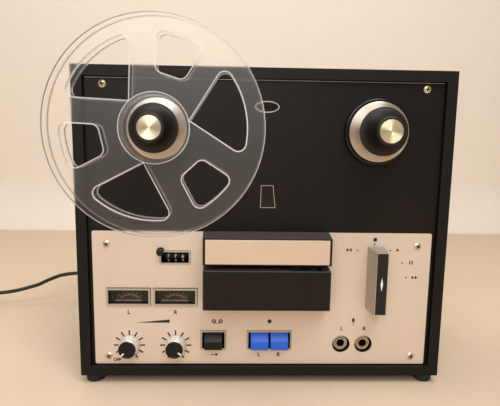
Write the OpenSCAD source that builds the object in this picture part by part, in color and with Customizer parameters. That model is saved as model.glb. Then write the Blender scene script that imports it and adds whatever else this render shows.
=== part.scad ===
// Reel-to-reel tape recorder that stands upright in a vinyl covered cabinet.
// Pieces are drawn as if the deck lay on its back: X runs to the right, Y up the deck
// and Z out of the deck face towards the user. upright() then stands them up.

/* [Cabinet] */
// Width of the cabinet
cabinet_w = 323; // [318:1:350]
// Height of the cabinet without its feet
cabinet_h = 271; // [266:1:300]
// Depth of the cabinet from front edge to rear edge
cabinet_d = 165; // [155:1:200]
// Thickness of the cabinet boards
board_t = 9; // [7:0.5:10]
// How far the cabinet's front edge stands ahead of the deck plate
front_lip = 4; // [2.5:0.5:6]
// How far the back panel sits inside the rear edge
back_inset = 2.5; // [1:0.5:5]
// Thickness of the back panel
back_t = 3; // [2:0.5:4]
// Width of the glue blocks in the cabinet's corners
block_w = 22; // [20:1:22]
// Height of the glue blocks
block_h = 16; // [15:1:20]
// Length of the glue blocks
block_l = 30; // [24:1:40]
// Diameter of a foot
foot_d = 16; // [12:1:20]
// Height of a foot
foot_h = 8; // [5:1:14]
// Distance of a foot's centre from the cabinet's edges
foot_inset = 10; // [10:1:20]

/* [Deck plate and control panel] */
// Thickness of the deck plate
deck_t = 1.6; // [1.2:0.2:2.4]
// Gap between the deck plate and the cabinet
deck_gap = 0.5; // [0.3:0.1:1]
// Strip of deck plate left bare on each side of the control panel
panel_margin = 3; // [1:0.5:5]
// Strip of deck plate left bare below the control panel
panel_lift = 0.5; // [0.3:0.1:2]
// Height of the control panel as a share of the deck plate's height
panel_share = 0.4825; // [0.4685:0.0005:0.5]
// Thickness of the control panel
panel_t = 1.2; // [0.8:0.1:2]
// Corner radius of the control panel
panel_r = 1.5; // [1:0.5:5]

/* [Screws] */
// Diameter of a screw's head
screw_head_d = 6.4; // [5.5:0.1:8]
// Height of a screw's head
screw_head_h = 1.8; // [1.2:0.1:2.4]
// Diameter of a screw's shank
screw_d = 3.2; // [2.5:0.1:4]
// Length of a screw's shank
screw_l = 14; // [10:1:20]
// Shank length of the two screws that hold only the plates
plate_screw_l = 5; // [4:0.5:8]
// Distance of the panel screws from the panel's sides
panel_screw_side = 12.4; // [8:0.1:13]
// Distance of the lower panel screws from the panel's lower edge
panel_screw_low = 7.6; // [6:0.1:9]
// Distance of the upper panel screws from the panel's upper edge
panel_screw_high = 11.6; // [8:0.1:14]
// Distance of the deck screws from the deck plate's sides
deck_screw_side = 15.3; // [8:0.1:18]
// Distance of the deck screws from the deck plate's upper edge
deck_screw_down = 5.5; // [5:0.1:9]
// Distance of the back screws from the back panel's edges
back_screw_inset = 8; // [6:0.5:10]

/* [Turntables and reel] */
// How far the layout's middle lies right of the cabinet's middle
layout_x = 2.3; // [0:0.1:3]
// Distance between the two spindles as a share of the deck plate's width
spindle_share = 0.6086; // [0.592:0.0001:0.65]
// Gap from the upper head cover's corner straight up to the reel's edge
reel_gap = 8.9; // [4:0.1:16]
// Diameter of a spindle
spindle_d = 7.9; // [7:0.1:8.2]
// Diameter of a turntable
turntable_d = 56.4; // [52:0.2:66]
// Thickness of a turntable
turntable_t = 6; // [4:0.5:8]
// Gap between the deck plate and a turntable
turntable_gap = 1.5; // [1:0.1:2.5]
// Diameter of the metal disc on a turntable
disc_d = 50.2; // [44:0.2:51]
// Thickness of the metal disc
disc_t = 2.5; // [1.5:0.1:4]
// Diameter of the reel
reel_d = 177.8; // [165:0.1:178]
// Thickness of the reel over its flanges
reel_t = 14.5; // [13:0.1:17]
// Thickness of a reel flange
flange_t = 1.6; // [1.2:0.1:2]
// Diameter of the reel's hub
hub_d = 57.2; // [50:0.2:62]
// Wall of the reel's hub
hub_wall = 2.5; // [2:0.1:4]
// Diameter of the hole in the reel
reel_bore = 8.4; // [8.3:0.1:9]
// Radius out to which the flange windows reach
window_r = 74; // [70:0.5:78]
// Radius at which the small flange windows start
small_window_in = 43.5; // [40:0.5:48]
// Width of the rim bead on the flanges
rim_w = 2.5; // [1.5:0.1:4]
// How far the rim bead and the hub ring stand proud of a flange
bead_h = 0.4; // [0.2:0.1:0.6]
// Diameter of a reel cap at its skirt
cap_d = 39.5; // [34:0.1:44]
// Diameter of a reel cap at its shoulder
cap_neck_d = 23.6; // [22.4:0.1:26]
// Height of a reel cap
cap_h = 20.5; // [18:0.1:24]
// Diameter of the bright disc let into a reel cap
cap_disc_d = 18.8; // [14:0.1:20.8]
// Depth of the recess for that disc
cap_disc_t = 0.8; // [0.4:0.1:1.2]
// How much lower the take-up cap sits, with no reel under it
bare_cap_drop = 4; // [0:0.1:5]

/* [Head covers] */
// How far the covers' middle lies right of the cabinet's middle
cover_x = 2.5; // [1:0.1:4]
// Width of the covers at their front
cover_w = 108; // [105:0.5:108.5]
// How far the covers' front stands out from the deck plate
cover_z = 23; // [22.6:0.1:25]
// How much the covers widen towards the panel on each side
cover_draft = 1; // [0:0.1:1.4]
// Wall of the covers
cover_wall = 2; // [1.5:0.1:2]
// Distance of the middle of the tape slot from the control panel's upper edge
slot_drop = 26.5; // [25.6:0.1:27.6]
// Height of the tape slot
slot_h = 4.4; // [4.4:0.1:5]
// Height of the upper cover
upper_cover_h = 23.3; // [22:0.1:24]
// Height of the lower cover
lower_cover_h = 34.8; // [32:0.1:35.2]
// How far the upper cover's top slopes up towards the deck
upper_slope = 1.8; // [0.5:0.1:2]
// Width of the face plate on the upper cover
faceplate_w = 104; // [100:0.5:104]
// Height of the face plate
faceplate_h = 20.9; // [18:0.1:21.5]
// Thickness of the face plate
faceplate_t = 0.8; // [0.5:0.1:1.2]

/* [Tape path] */
// Distance of the capstan from the covers' middle
capstan_dx = 33.5; // [32:0.1:34]
// Diameter of the capstan
capstan_d = 6; // [5:0.1:7]
// Diameter of the flywheel
flywheel_d = 76; // [66:1:80]
// Thickness of the flywheel
flywheel_t = 14; // [10:0.5:16]
// Diameter of the pinch roller
pinch_d = 20; // [18:0.5:20.5]
// Width of the pinch roller
pinch_w = 9; // [7:0.1:9.3]
// Width of the erase head
erase_w = 9; // [7:0.1:11]
// Width of the record and play head
record_w = 13; // [10:0.1:15]
// Distance between the two heads
head_spacing = 28; // [24:0.5:30]
// Diameter of the motor
motor_d = 60; // [52:1:64]
// Length of the motor
motor_l = 58; // [46:1:70]
// Working diameter of the motor pulley
pulley_d = 14; // [10:0.5:18]
// Width of the drive belt
belt_w = 6; // [4:0.2:7]
// Thickness of the drive belt
belt_t = 1.2; // [0.8:0.1:1.6]

/* [Meters and counter] */
// Place of the left channel across the control panel, as a share of its width
left_channel_across = 0.1027; // [0.102:0.0001:0.106]
// Distance between the left and the right channel
channel_spacing = 41.2; // [41.2:0.1:42]
// Place of the meters up the control panel, as a share of its height
meters_up = 0.514; // [0.502:0.001:0.534]
// Width of a meter's frame
meter_w = 38.8; // [36:0.1:39]
// Height of a meter's frame
meter_h = 16; // [14:0.1:17]
// Width of the rim of a meter's frame
meter_rim = 1.6; // [1.2:0.1:2]
// How far a meter needle turns, in degrees
needle_sweep = 70; // [40:1:72]
// Place of the counter up the control panel, as a share of its height
counter_up = 0.81; // [0.798:0.001:0.822]
// Width of the counter's frame
counter_w = 26.6; // [26:0.1:28]
// Height of the counter's frame
counter_h = 11.9; // [11:0.1:12.4]
// Width of the rim of the counter's frame
counter_rim = 1.2; // [0.9:0.1:1.4]
// Diameter of a number drum
drum_d = 13.2; // [12:0.1:13.6]
// Distance between the number drums
drum_pitch = 6.3; // [6.2:0.05:6.6]
// Diameter of the counter's reset button
reset_d = 6.2; // [5:0.1:7]

/* [Knobs, keys and jacks] */
// Place of the volume knobs up the control panel, as a share of its height
knobs_up = 0.144; // [0.14:0.001:0.164]
// Diameter of a volume knob at the panel
knob_d = 18.6; // [16:0.1:20]
// Diameter of a volume knob at its face
knob_face_d = 15.2; // [13:0.1:15.6]
// How far a volume knob's face stands out from the deck plate
knob_z = 12.4; // [10:0.1:15]
// Scale angle at which the left volume knob stands, clockwise from the top
left_volume_at = -136; // [-150:1:150]
// Scale angle at which the right volume knob stands, clockwise from the top
right_volume_at = 124; // [-150:1:150]
// Place of the keys up the control panel, as a share of its height
keys_up = 0.185; // [0.178:0.001:0.2]
// Place of the input key across the control panel, as a share of its width
input_key_across = 0.3544; // [0.3524:0.0001:0.359]
// Place of the record keys' middle across the control panel, as a share of its width
record_keys_across = 0.5232; // [0.517:0.0001:0.53]
// Distance between the two record keys
record_key_spacing = 17.6; // [17.6:0.1:18]
// Width of a key
key_w = 15.8; // [14:0.1:16]
// Height of a key
key_h = 14.4; // [13:0.1:14.4]
// How far a key stands out from the deck plate
key_z = 7.5; // [6:0.1:8]
// Travel of a key
key_travel = 4; // [2:0.1:4]
// Height of the window in a key frame
key_window_h = 15.3; // [15.2:0.1:16]
// Room beside the keys in their frame
key_side_gap = 2.2; // [1.5:0.1:2.6]
// Width of the rim of a key frame
key_rim = 1.1; // [1:0.1:1.8]
// Place of the microphone jacks up the control panel, as a share of its height
jacks_up = 0.1546; // [0.148:0.0002:0.164]
// Place of the jacks' middle across the control panel, as a share of its width
jacks_across = 0.7765; // [0.7685:0.0005:0.7885]
// Distance between the two jacks
jack_spacing = 20.3; // [20:0.1:22]
// Diameter of the round recess of a jack
jack_recess_d = 16; // [14.5:0.1:17]
// Diameter of a jack's bore
jack_bore = 6.5; // [6.4:0.05:6.6]
// Depth of a jack's bore
jack_bore_l = 28; // [24:0.5:30]
// How far a jack's plate lies behind the deck plate
jack_setback = 1.8; // [1.4:0.1:4]

/* [Function lever] */
// Place of the lever's shaft across the control panel, as a share of its width
lever_across = 0.8345; // [0.8255:0.0005:0.8355]
// Place of the lever's shaft up the control panel, as a share of its height
lever_up = 0.671; // [0.662:0.001:0.686]
// Length of the lever at the panel
lever_l = 56.5; // [52:0.5:58]
// Length of the lever at its front
lever_front_l = 54.8; // [50:0.1:56]
// Width of the lever at the panel
lever_w = 14.4; // [13:0.1:16]
// Width of the lever at its front
lever_front_w = 10.1; // [8:0.1:11]
// How far the lever's front stands out from the deck plate
lever_z = 22.5; // [18:0.1:26]
// Width of the bright edge round the lever's black insert
lever_edge = 0.6; // [0.5:0.1:1.4]
// Angle between two stops of the lever
lever_step = 30; // [25:1:32]

/* [Mains lead] */
// Diameter of the lead
lead_d = 4.6; // [4:0.1:5]
// Length of the strain relief behind the back panel
relief_l = 28; // [20:0.5:40]
// Turns of the coil's spiral in one layer
layer_turns = 1.9375; // [1.4375:0.5:2.4375]
// Inner radius of the coil at the lead's middle
coil_in = 20.5; // [18.4:0.1:24]

/* [Fits] */
// Gap between pieces that pass each other
clearance = 0.3; // [0.2:0.05:0.35]
// Gap all round a shaft that turns in its bush
run_fit = 0.05; // [0.02:0.01:0.08]

/* [Hidden] */
$fn = 72;

// Planes along Z and edges in X and Y that several pieces share
deck_back = -deck_t;
cabinet_front = front_lip;
cabinet_rear = front_lip - cabinet_d;
back_face = cabinet_rear + back_inset;
back_inner = back_face + back_t;
inside_w = cabinet_w - 2 * board_t;
deck_w = inside_w - 2 * deck_gap;
deck_low = board_t + deck_gap;
deck_high = cabinet_h - board_t - deck_gap;
panel_w = deck_w - 2 * panel_margin;
panel_h = panel_share * (deck_high - deck_low);
panel_low = deck_low + panel_lift;
panel_high = panel_low + panel_h;

// Places on the control panel
function across(share) = (share - 0.5) * panel_w;
function up(share) = panel_low + share * panel_h;
channels = [across(left_channel_across), across(left_channel_across) + channel_spacing];
meter_y = up(meters_up);
counter_y = up(counter_up);
knob_y = up(knobs_up);
key_y = up(keys_up);
input_key_x = across(input_key_across);
record_key_x = across(record_keys_across);
jack_y = up(jacks_up);
jack_x = across(jacks_across);
lever_x = across(lever_across);
lever_y = up(lever_up);

// Head covers and the tape slot between them
slot_y = panel_high - slot_drop;
slot_low = slot_y - slot_h / 2;
slot_high = slot_y + slot_h / 2;
cover_top = slot_high + upper_cover_h;
cover_bottom = slot_low - lower_cover_h;
cover_left = cover_x - cover_w / 2;

// Spindles and what stands on them: the reel clears the corner of the upper head cover
spindle_spacing = spindle_share * deck_w;
spindle_x = [layout_x - spindle_spacing / 2, layout_x + spindle_spacing / 2];
spindle_y = cover_top + reel_gap + sqrt(pow(reel_d / 2, 2) - pow(cover_left - spindle_x[0], 2));
turntable_front = turntable_gap + turntable_t;
disc_front = turntable_front + disc_t;
reel_front = disc_front + reel_t;
cap_front = reel_front + cap_h;
cap_seats = [reel_front, reel_front - bare_cap_drop];
cap_bore_l = cap_h - 5;
spindle_rear = -32;
spindle_hole_d = 18;
bush_d = 14;
bush_flange_d = 20;
bush_flange_t = 2;
window_corner = 6;
small_window_half = 15;
large_window_half = 45;
first_window_at = 12.5;

// Chassis behind the deck plate
chassis_t = 2;
chassis_front = -14;
chassis_rear = chassis_front - chassis_t;
post_d = 8;

// Tape path
tape_gap = 0.1;
path_y = slot_high + tape_gap;
cover_inner_z = cover_z - cover_wall;
path_front = cover_inner_z - 0.4;
bracket_t = panel_t;
bracket_edge = 7;
capstan_x = cover_x + capstan_dx;
capstan_y = path_y + capstan_d / 2;
flywheel_front = -26;
flywheel_rear = flywheel_front - flywheel_t;
flywheel_hub_d = 18;
roller_y = slot_low - 0.2 - pinch_d / 2;
pinch_pivot = [capstan_x - 28, roller_y - 4.7];
pinch_pin_d = 4;
pinch_axle_d = 3;
pinch_arm_t = 2;
pinch_arm_z = 6;
roller_front = path_front - 0.6;
head_z = 10.5;
head_l = 13.6;
head_round = 14;
erase_x = cover_x - 26.5;
record_x = erase_x + head_spacing;
guide_x = [cover_x - 40.5, cover_x + 43.5];
guide_flange_d = 7.2;
guide_post_d = 4.4;

// Motor and belt
motor_left = 66;
motor_rise = 67;
motor_at = [capstan_x - motor_left, capstan_y + motor_rise];
motor_front = -46;
motor_shaft_d = 5;
pulley_flange = 1.5;
belt_mid = (flywheel_front + flywheel_rear) / 2;
motor_post_r = motor_d / 2 - 6;
motor_posts_at = [-110, 20, 135];

// Meters: the needle turns on a pin below the window
meter_front = panel_t + 1;
meter_body_w = channel_spacing - 0.4;
meter_body_rear = -22;
meter_wall = 1.2;
dial_z = -8;
needle_drop = 13;
needle_l = 17;
needle_z = -5.2;
needle_t = 0.6;
needle_pin_d = 1.6;

// Counter
counter_x = channels[1];
counter_front = panel_t + 0.4;
counter_rear = -19;
drum_w = drum_pitch - 0.5;
drum_z = deck_back - 1 - drum_d / 2;
axle_d = 2;
reset_at = [-counter_w / 2 + 0.7, counter_h / 2 - 0.65];
reset_boss_d = reset_d + 0.4;
reset_front = counter_front + 2.4;
reset_travel = 2.5;
reset_stem_d = 3;

// Knobs
pot_bush_d = 9.2;
pot_d = 19;
pot_rear = -14;
stem_d = 6;
stem_rear = -10;
knob_gap = panel_t + 0.5;
knob_face_t = 1.4;

// Keys
single_window_w = key_w + 2 * key_side_gap;
double_window_w = record_key_spacing + key_w + 2 * key_side_gap;
key_frame_front = panel_t + 0.6;
key_shelf = -4.6;
key_frame_rear = -24;
key_rear = -18;
record_keys = [record_key_x - record_key_spacing / 2, record_key_x + record_key_spacing / 2];

// Jacks
jacks = [jack_x - jack_spacing / 2, jack_x + jack_spacing / 2];
jack_plate = deck_back - jack_setback;
jack_front = jack_plate + 2;
jack_flange_t = 2;

// Lever
lever_gap = panel_t + 0.5;
lever_shaft_d = 8;
lever_bush_d = 13;
lever_shaft_rear = -11;
cam_d = 28;
cam_front = deck_back - bush_flange_t - 0.4;
cam_rear = cam_front - 5;
insert_t = 1.2;

// Line jacks on the back panel
line_jack_first = [60, 84];
line_jack_pitch = 18;
line_jack_at = [for (i = [0, 1], k = [0, 1]) line_jack_first + line_jack_pitch * [i, k]];
line_shell_d = 8.3;
line_shell_l = 8;
line_flange_t = 1.5;
line_rear = back_face - line_flange_t - line_shell_l;

// Transformer on the cabinet's floor
transformer_w = 50;
transformer_h = 46;
transformer_l = 42;
transformer_x = inside_w / 2 - block_w - 44;

// The origin lies under the middle of the box round the object without its lead
relief_rear = back_face - relief_l;
centre_x = (spindle_x[0] - reel_d / 2 + cabinet_w / 2) / 2;
centre_y = (-cap_front - relief_rear) / 2;

// Lead in the standing frame: where it leaves, and the coil that lies left of the recorder
relief_side = 33.2;
relief_up = 58;
relief_at = [relief_side - deck_w / 2, relief_up];
relief_end = [relief_at[0] - centre_x, -relief_rear - centre_y, relief_at[1] + foot_h];
tie_t = 0.6;
coil_pitch = lead_d + 1.2;
coil_step = lead_d + 0.8;
coil_layers = 4;
coil_at = [relief_end[0] - 245, relief_end[1] - 35];
coil_low = lead_d / 2 + tie_t + clearance + 0.1;
coil_top = coil_low + (coil_layers - 1) * coil_step;
coil_out = coil_in + coil_pitch * layer_turns;
coil_start = [coil_at[0] + lead_d, coil_at[1] + coil_out, coil_top];

// Shape of the free lead, chosen by hand: steps left and back from the strain relief,
// and the share of the drop to the coil that is still to go
lead_shape = [
    [0, 0, 1], [0, 6, 1], [2, 13, 1], [7, 19, 0.98], [15, 23, 0.96], [25, 25, 0.91], [37, 25, 0.87],
    [50, 24, 0.81], [64, 22, 0.74], [78, 20, 0.66], [92, 18, 0.57], [104, 17, 0.5], [116, 16, 0.46],
    [127, 15, 0.44], [137, 14, 0.4], [146, 13, 0.33], [155, 12, 0.25], [164, 10, 0.16], [174, 8, 0.1],
    [188, 5, 0.03], [202, 2, -0.01], [216, -1, -0.02], [228, -2.7, -0.01]
];
lead_drop = relief_end[2] - coil_top;
lead_route = concat(
    [for (s = lead_shape) [relief_end[0] - s[0], relief_end[1] + s[1], coil_top + s[2] * lead_drop]],
    [coil_start]
);
lead_sides = 8;
coil_sides = 6;
coil_rings = 24;
plug_l = 26;
plug_w = 24;
plug_h = 14;
boot_l = 14;
tail_l = 30;

// Shared shapes

// Stands the lying deck up on its feet, with the origin under its middle
module upright() {
    translate([-centre_x, -centre_y, foot_h]) rotate([90, 0, 0]) children();
}

// A flat outline given thickness from z0 to z1
module slab(z0, z1) {
    translate([0, 0, z0]) linear_extrude(z1 - z0) children();
}

// A round rod along Z
module rod(d, z0, z1) {
    translate([0, 0, z0]) cylinder(d = d, h = z1 - z0);
}

// A profile in X and Z that runs along Y
module run_y(l) {
    rotate([90, 0, 0]) linear_extrude(l, center = true) children();
}

// A profile in Y and Z that runs along X
module run_x(l) {
    rotate([90, 0, 90]) linear_extrude(l, center = true) children();
}

module rounded_rect(w, h, r) {
    square([w - 2 * r, h], center = true);
    square([w, h - 2 * r], center = true);
    for (x = [-1, 1], y = [-1, 1]) translate([x * (w / 2 - r), y * (h / 2 - r)]) circle(r);
}

// Points on an arc round p between two angles
function arc_points(p, r, from, to, steps) = [
    for (i = [0 : steps])
        let (a = from + (to - from) * i / steps)
        p + r * [cos(a), sin(a)]
];

// A block between z0 and z1 that narrows from one rectangle to another
module tapered_block(w0, l0, w1, l1, z0, z1) {
    intersection() {
        run_y(max(l0, l1)) polygon([[-w0 / 2, z0], [w0 / 2, z0], [w1 / 2, z1], [-w1 / 2, z1]]);
        run_x(max(w0, w1)) polygon([[-l0 / 2, z0], [l0 / 2, z0], [l1 / 2, z1], [-l1 / 2, z1]]);
    }
}

// Cabinet

module cabinet_box() {
    color("#1b1a19") upright() difference() {
        union() {
            difference() {
                translate([-cabinet_w / 2, 0, cabinet_rear]) cube([cabinet_w, cabinet_h, cabinet_d]);
                translate([-inside_w / 2, board_t, cabinet_rear - 1])
                    cube([inside_w, cabinet_h - 2 * board_t, cabinet_d + 2]);
            }
            for (x = [-inside_w / 2, inside_w / 2 - block_w], y = [board_t, cabinet_h - board_t - block_h],
                z = [deck_back - block_l, back_inner])
                translate([x, y, z]) cube([block_w, block_h, block_l]);
        }
        for (p = concat(deck_screws_at(), low_panel_screws_at()))
            translate(p) rod(screw_d + clearance, deck_back - screw_l - 1, deck_back + 1);
        for (p = back_screws_at())
            translate(p) rod(screw_d + clearance, back_face - 1, back_face + screw_l + 2);
    }
}

module back_panel() {
    vent_w = 46;
    vent_h = 4;
    vent_pitch = 9;
    vent_gap = 14;
    vents_drop = 55;
    color("#2a2320") upright() slab(back_face, back_inner) difference() {
        translate([-deck_w / 2, deck_low]) square([deck_w, deck_high - deck_low]);
        for (p = back_screws_at()) translate(p) circle(d = screw_d + clearance);
        for (x = [-2, -1, 0, 1], i = [0 : 7])
            translate([(x + 0.5) * (vent_w + vent_gap), spindle_y - vents_drop + i * vent_pitch])
                rounded_rect(vent_w, vent_h, vent_h / 2 - 0.1);
        for (p = line_jack_at) translate(p) circle(d = line_shell_d - 1);
        translate(relief_at) circle(d = lead_d + 5);
    }
}

// Two places at the same height, mirrored about the cabinet's middle
function pair(x, y) = [[-x, y], [x, y]];
function deck_screws_at() = pair(deck_w / 2 - deck_screw_side, deck_high - deck_screw_down);
function high_panel_screws_at() = pair(panel_w / 2 - panel_screw_side, panel_high - panel_screw_high);
function low_panel_screws_at() = pair(panel_w / 2 - panel_screw_side, panel_low + panel_screw_low);
function back_screws_at() = [
    for (y = [deck_low + back_screw_inset, deck_high - back_screw_inset])
        each pair(deck_w / 2 - back_screw_inset, y)
];

// Pan head screw with a cross recess; its head stands on z = 0
module screw(l) {
    recess_w = screw_head_d * 0.16;
    recess_l = screw_head_d * 0.62;
    edge_h = screw_head_h * 0.35;
    dome_r = (pow(screw_head_d / 2, 2) + pow(screw_head_h - edge_h, 2)) / (2 * (screw_head_h - edge_h));
    difference() {
        union() {
            rod(screw_d, -l, 0.1);
            rod(screw_head_d, 0, edge_h);
            intersection() {
                rod(screw_head_d, 0, screw_head_h);
                translate([0, 0, screw_head_h - dome_r]) sphere(dome_r);
            }
        }
        for (a = [0, 90]) rotate(a) translate([-recess_l / 2, -recess_w / 2, screw_head_h - 1])
            cube([recess_l, recess_w, 2]);
    }
}

module case_screws() {
    color("#b9a878") upright() {
        for (p = deck_screws_at()) translate(p) screw(screw_l);
        for (p = low_panel_screws_at()) translate([p[0], p[1], panel_t]) screw(screw_l);
        for (p = high_panel_screws_at()) translate([p[0], p[1], panel_t]) screw(plate_screw_l);
        for (p = back_screws_at()) translate([p[0], p[1], back_face]) rotate([0, 180, 0]) screw(screw_l);
    }
}

module feet() {
    edge = 2.5;
    color("#141414") upright()
        for (x = [-1, 1], z = [cabinet_front - foot_inset, cabinet_rear + foot_inset])
            translate([x * (cabinet_w / 2 - foot_inset), 0, z]) rotate([90, 0, 0]) {
                rod(foot_d, 0, foot_h - edge);
                rod(foot_d - 2 * edge, foot_h - edge, foot_h);
                translate([0, 0, foot_h - edge]) rotate_extrude() translate([foot_d / 2 - edge, 0])
                    intersection() {
                        circle(edge);
                        square(edge + 1);
                    }
            }
}

// Deck plate and control panel

// Openings that the deck plate and the control panel share
module control_openings() {
    for (x = channels) {
        translate([x, meter_y]) square([meter_w + 2 * clearance, meter_h + 2 * clearance], center = true);
        translate([x, knob_y]) circle(d = pot_bush_d + 2 * clearance);
    }
    translate([counter_x, counter_y]) {
        square([counter_w + 2 * clearance, counter_h + 2 * clearance], center = true);
        translate(reset_at) circle(d = reset_boss_d + 2 * clearance);
    }
    translate([input_key_x, key_y]) key_frame_outline(single_window_w, clearance);
    translate([record_key_x, key_y]) key_frame_outline(double_window_w, clearance);
    for (x = jacks) translate([x, jack_y]) circle(d = jack_recess_d);
    for (p = concat(high_panel_screws_at(), low_panel_screws_at()))
        translate(p) circle(d = screw_d + clearance);
}

module deck_plate() {
    color("#191816") upright() slab(deck_back, 0) difference() {
        translate([-deck_w / 2, deck_low]) square([deck_w, deck_high - deck_low]);
        control_openings();
        for (x = spindle_x) translate([x, spindle_y]) circle(d = spindle_hole_d);
        translate([capstan_x, capstan_y]) circle(d = bush_d + 2 * clearance);
        translate([lever_x, lever_y]) circle(d = lever_bush_d);
        for (p = deck_screws_at()) translate(p) circle(d = screw_d + clearance);
    }
}

module control_panel() {
    opening_w = cover_w - 2 * cover_wall - 6;
    opening_low = cover_bottom + cover_wall + 1;
    opening_high = cover_top - cover_wall - 0.6;
    color("#d8c8b4") upright() slab(0, panel_t) difference() {
        translate([0, panel_low + panel_h / 2]) rounded_rect(panel_w, panel_h, panel_r);
        control_openings();
        translate([cover_x - opening_w / 2, opening_low]) square([opening_w, opening_high - opening_low]);
        translate([lever_x, lever_y]) circle(d = lever_bush_d + 2 * clearance);
    }
}

// Transport behind the deck plate

module transport_chassis() {
    left_edge = spindle_x[0] - 28;
    right_edge = spindle_x[1] + 30;
    step_x = cover_x - 48;
    high_edge = deck_high - 11;
    low_edge = slot_y - 43;
    step_y = spindle_y - 35;
    inset = 6;
    posts = [
        [left_edge + inset, high_edge - inset], [right_edge - inset, high_edge - inset],
        [left_edge + inset, step_y + inset], [step_x + inset, low_edge + inset + 4],
        [right_edge - inset, low_edge + inset]
    ];
    color("#8f8f8a") upright() {
        slab(chassis_rear, chassis_front) difference() {
            polygon([
                [left_edge, step_y], [left_edge, high_edge], [right_edge, high_edge],
                [right_edge, low_edge], [step_x, low_edge], [step_x, step_y]
            ]);
            for (x = spindle_x) translate([x, spindle_y]) circle(d = bush_d);
            translate([capstan_x, capstan_y]) circle(d = bush_d);
        }
        for (p = posts) translate(p) rod(post_d, chassis_rear, deck_back);
        translate(motor_at) for (a = motor_posts_at)
            rotate(a) translate([motor_post_r, 0]) rod(post_d, motor_front, chassis_front);
    }
}

// A flanged bush that sits in the chassis
module chassis_bush(bore, z0, z1) {
    difference() {
        union() {
            rod(bush_d, z0, z1);
            rod(bush_flange_d, chassis_front, chassis_front + bush_flange_t);
        }
        rod(bore, z0 - 1, z1 + 1);
    }
}

module shaft_bearings() {
    color("#a8853f") upright() {
        for (x = spindle_x) translate([x, spindle_y])
            chassis_bush(spindle_d + 2 * run_fit, spindle_rear + 2, turntable_gap - 0.6);
        translate([capstan_x, capstan_y])
            chassis_bush(capstan_d + 2 * run_fit, flywheel_front + 2, deck_back - 1);
        translate([lever_x, lever_y]) difference() {
            union() {
                rod(lever_bush_d, deck_back, panel_t);
                rod(lever_bush_d + 6, deck_back - bush_flange_t, deck_back);
            }
            rod(lever_shaft_d + 2 * run_fit, deck_back - bush_flange_t - 1, panel_t + 1);
        }
    }
}

module capstan_flywheel() {
    color("#b9b6ad") upright() translate([capstan_x, capstan_y]) {
        rod(capstan_d, flywheel_rear - 4, path_front);
        rod(flywheel_d, flywheel_rear, flywheel_front);
        rod(flywheel_hub_d, flywheel_rear - 4, flywheel_front + 1.6);
    }
}

module drive_motor() {
    lug = 10;
    color("#6f7072") upright() translate(motor_at) difference() {
        union() {
            rod(motor_d, motor_front - motor_l, motor_front);
            rod(motor_d - lug, motor_front - motor_l - 4, motor_front - motor_l);
            rod(motor_shaft_d + 9, motor_front, motor_front + 4);
        }
        rod(motor_shaft_d + 2 * run_fit, motor_front - 20, motor_front + 5);
    }
}

module motor_pulley() {
    color("#b08d45") upright() translate(motor_at) {
        rod(pulley_d, belt_mid - belt_w / 2 - 1, belt_mid + belt_w / 2 + 1);
        for (s = [-1, 1]) rod(pulley_d + 2 * pulley_flange + 2 * belt_t,
            belt_mid + s * (belt_w / 2 + 1.5) - 0.5, belt_mid + s * (belt_w / 2 + 1.5) + 0.5);
        rod(motor_shaft_d, motor_front - 18, belt_mid);
    }
}

// Outline of a taut belt round the pulley and the flywheel, at a gap from both
function belt_outline(gap) =
    let (small = pulley_d / 2 + gap, large = flywheel_d / 2 + gap,
        across = [capstan_x, capstan_y] - motor_at,
        heading = atan2(across[1], across[0]), lean = acos((small - large) / norm(across)))
    concat(
        arc_points(motor_at, small, heading + lean, heading + 360 - lean, 16),
        arc_points([capstan_x, capstan_y], large, heading - lean, heading + lean, 48)
    );

module drive_belt() {
    color("#1c1b1a") upright() slab(belt_mid - belt_w / 2, belt_mid + belt_w / 2) difference() {
        polygon(belt_outline(clearance + belt_t));
        polygon(belt_outline(clearance));
    }
}

// Head covers and what they hide

// A cover's block between two heights; inset draws the hollow inside the outer block
module cover_block(low, high, low_slope, high_slope, inset) {
    z0 = inset > 0 ? panel_t - 1 : panel_t;
    z1 = cover_z - inset;
    half = cover_w / 2 - inset;
    intersection() {
        translate([cover_x, 0, 0]) run_x(2 * cover_w)
            polygon([[low - low_slope, z0], [low, z1], [high, z1], [high + high_slope, z0]]);
        translate([cover_x, 0, 0]) run_y(2 * cabinet_h)
            polygon([[-half - cover_draft, z0], [half + cover_draft, z0], [half, z1], [-half, z1]]);
    }
}

module upper_head_cover() {
    color("#171615") upright() difference() {
        cover_block(slot_high, cover_top, 0, upper_slope, 0);
        cover_block(slot_high - 1, cover_top - cover_wall, 0, upper_slope, cover_wall);
    }
}

module cover_faceplate() {
    color("#d9d2c6") upright() translate([cover_x, slot_high + upper_cover_h / 2, 0])
        slab(cover_z, cover_z + faceplate_t) rounded_rect(faceplate_w, faceplate_h, 0.6);
}

module lower_head_cover() {
    roller_room = pinch_d / 2 + 3;
    color("#171615") upright() difference() {
        cover_block(cover_bottom, slot_low, cover_draft, 0, 0);
        cover_block(cover_bottom + cover_wall, slot_low - cover_wall, cover_draft, 0, cover_wall);
        translate([capstan_x - roller_room, slot_low - cover_wall - 1, panel_t - 1])
            cube([2 * roller_room, cover_wall + 2, cover_inner_z - panel_t + 1]);
    }
}

module head_bracket() {
    low = cover_bottom + bracket_edge;
    high = cover_top - bracket_edge;
    half = cover_w / 2 - bracket_edge;
    color("#9a9a94") upright() {
        slab(0, bracket_t) difference() {
            translate([cover_x - half, low]) square([2 * half, high - low]);
            translate([capstan_x, capstan_y]) circle(d = bush_d + 2);
        }
        for (h = [[erase_x, erase_w], [record_x, record_w]])
            translate([h[0] - h[1] / 2, path_y + 3, bracket_t]) cube([h[1], head_l - 4, head_z - bracket_t]);
        translate(pinch_pivot) rod(pinch_pin_d, bracket_t, head_z + 1);
    }
}

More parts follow.
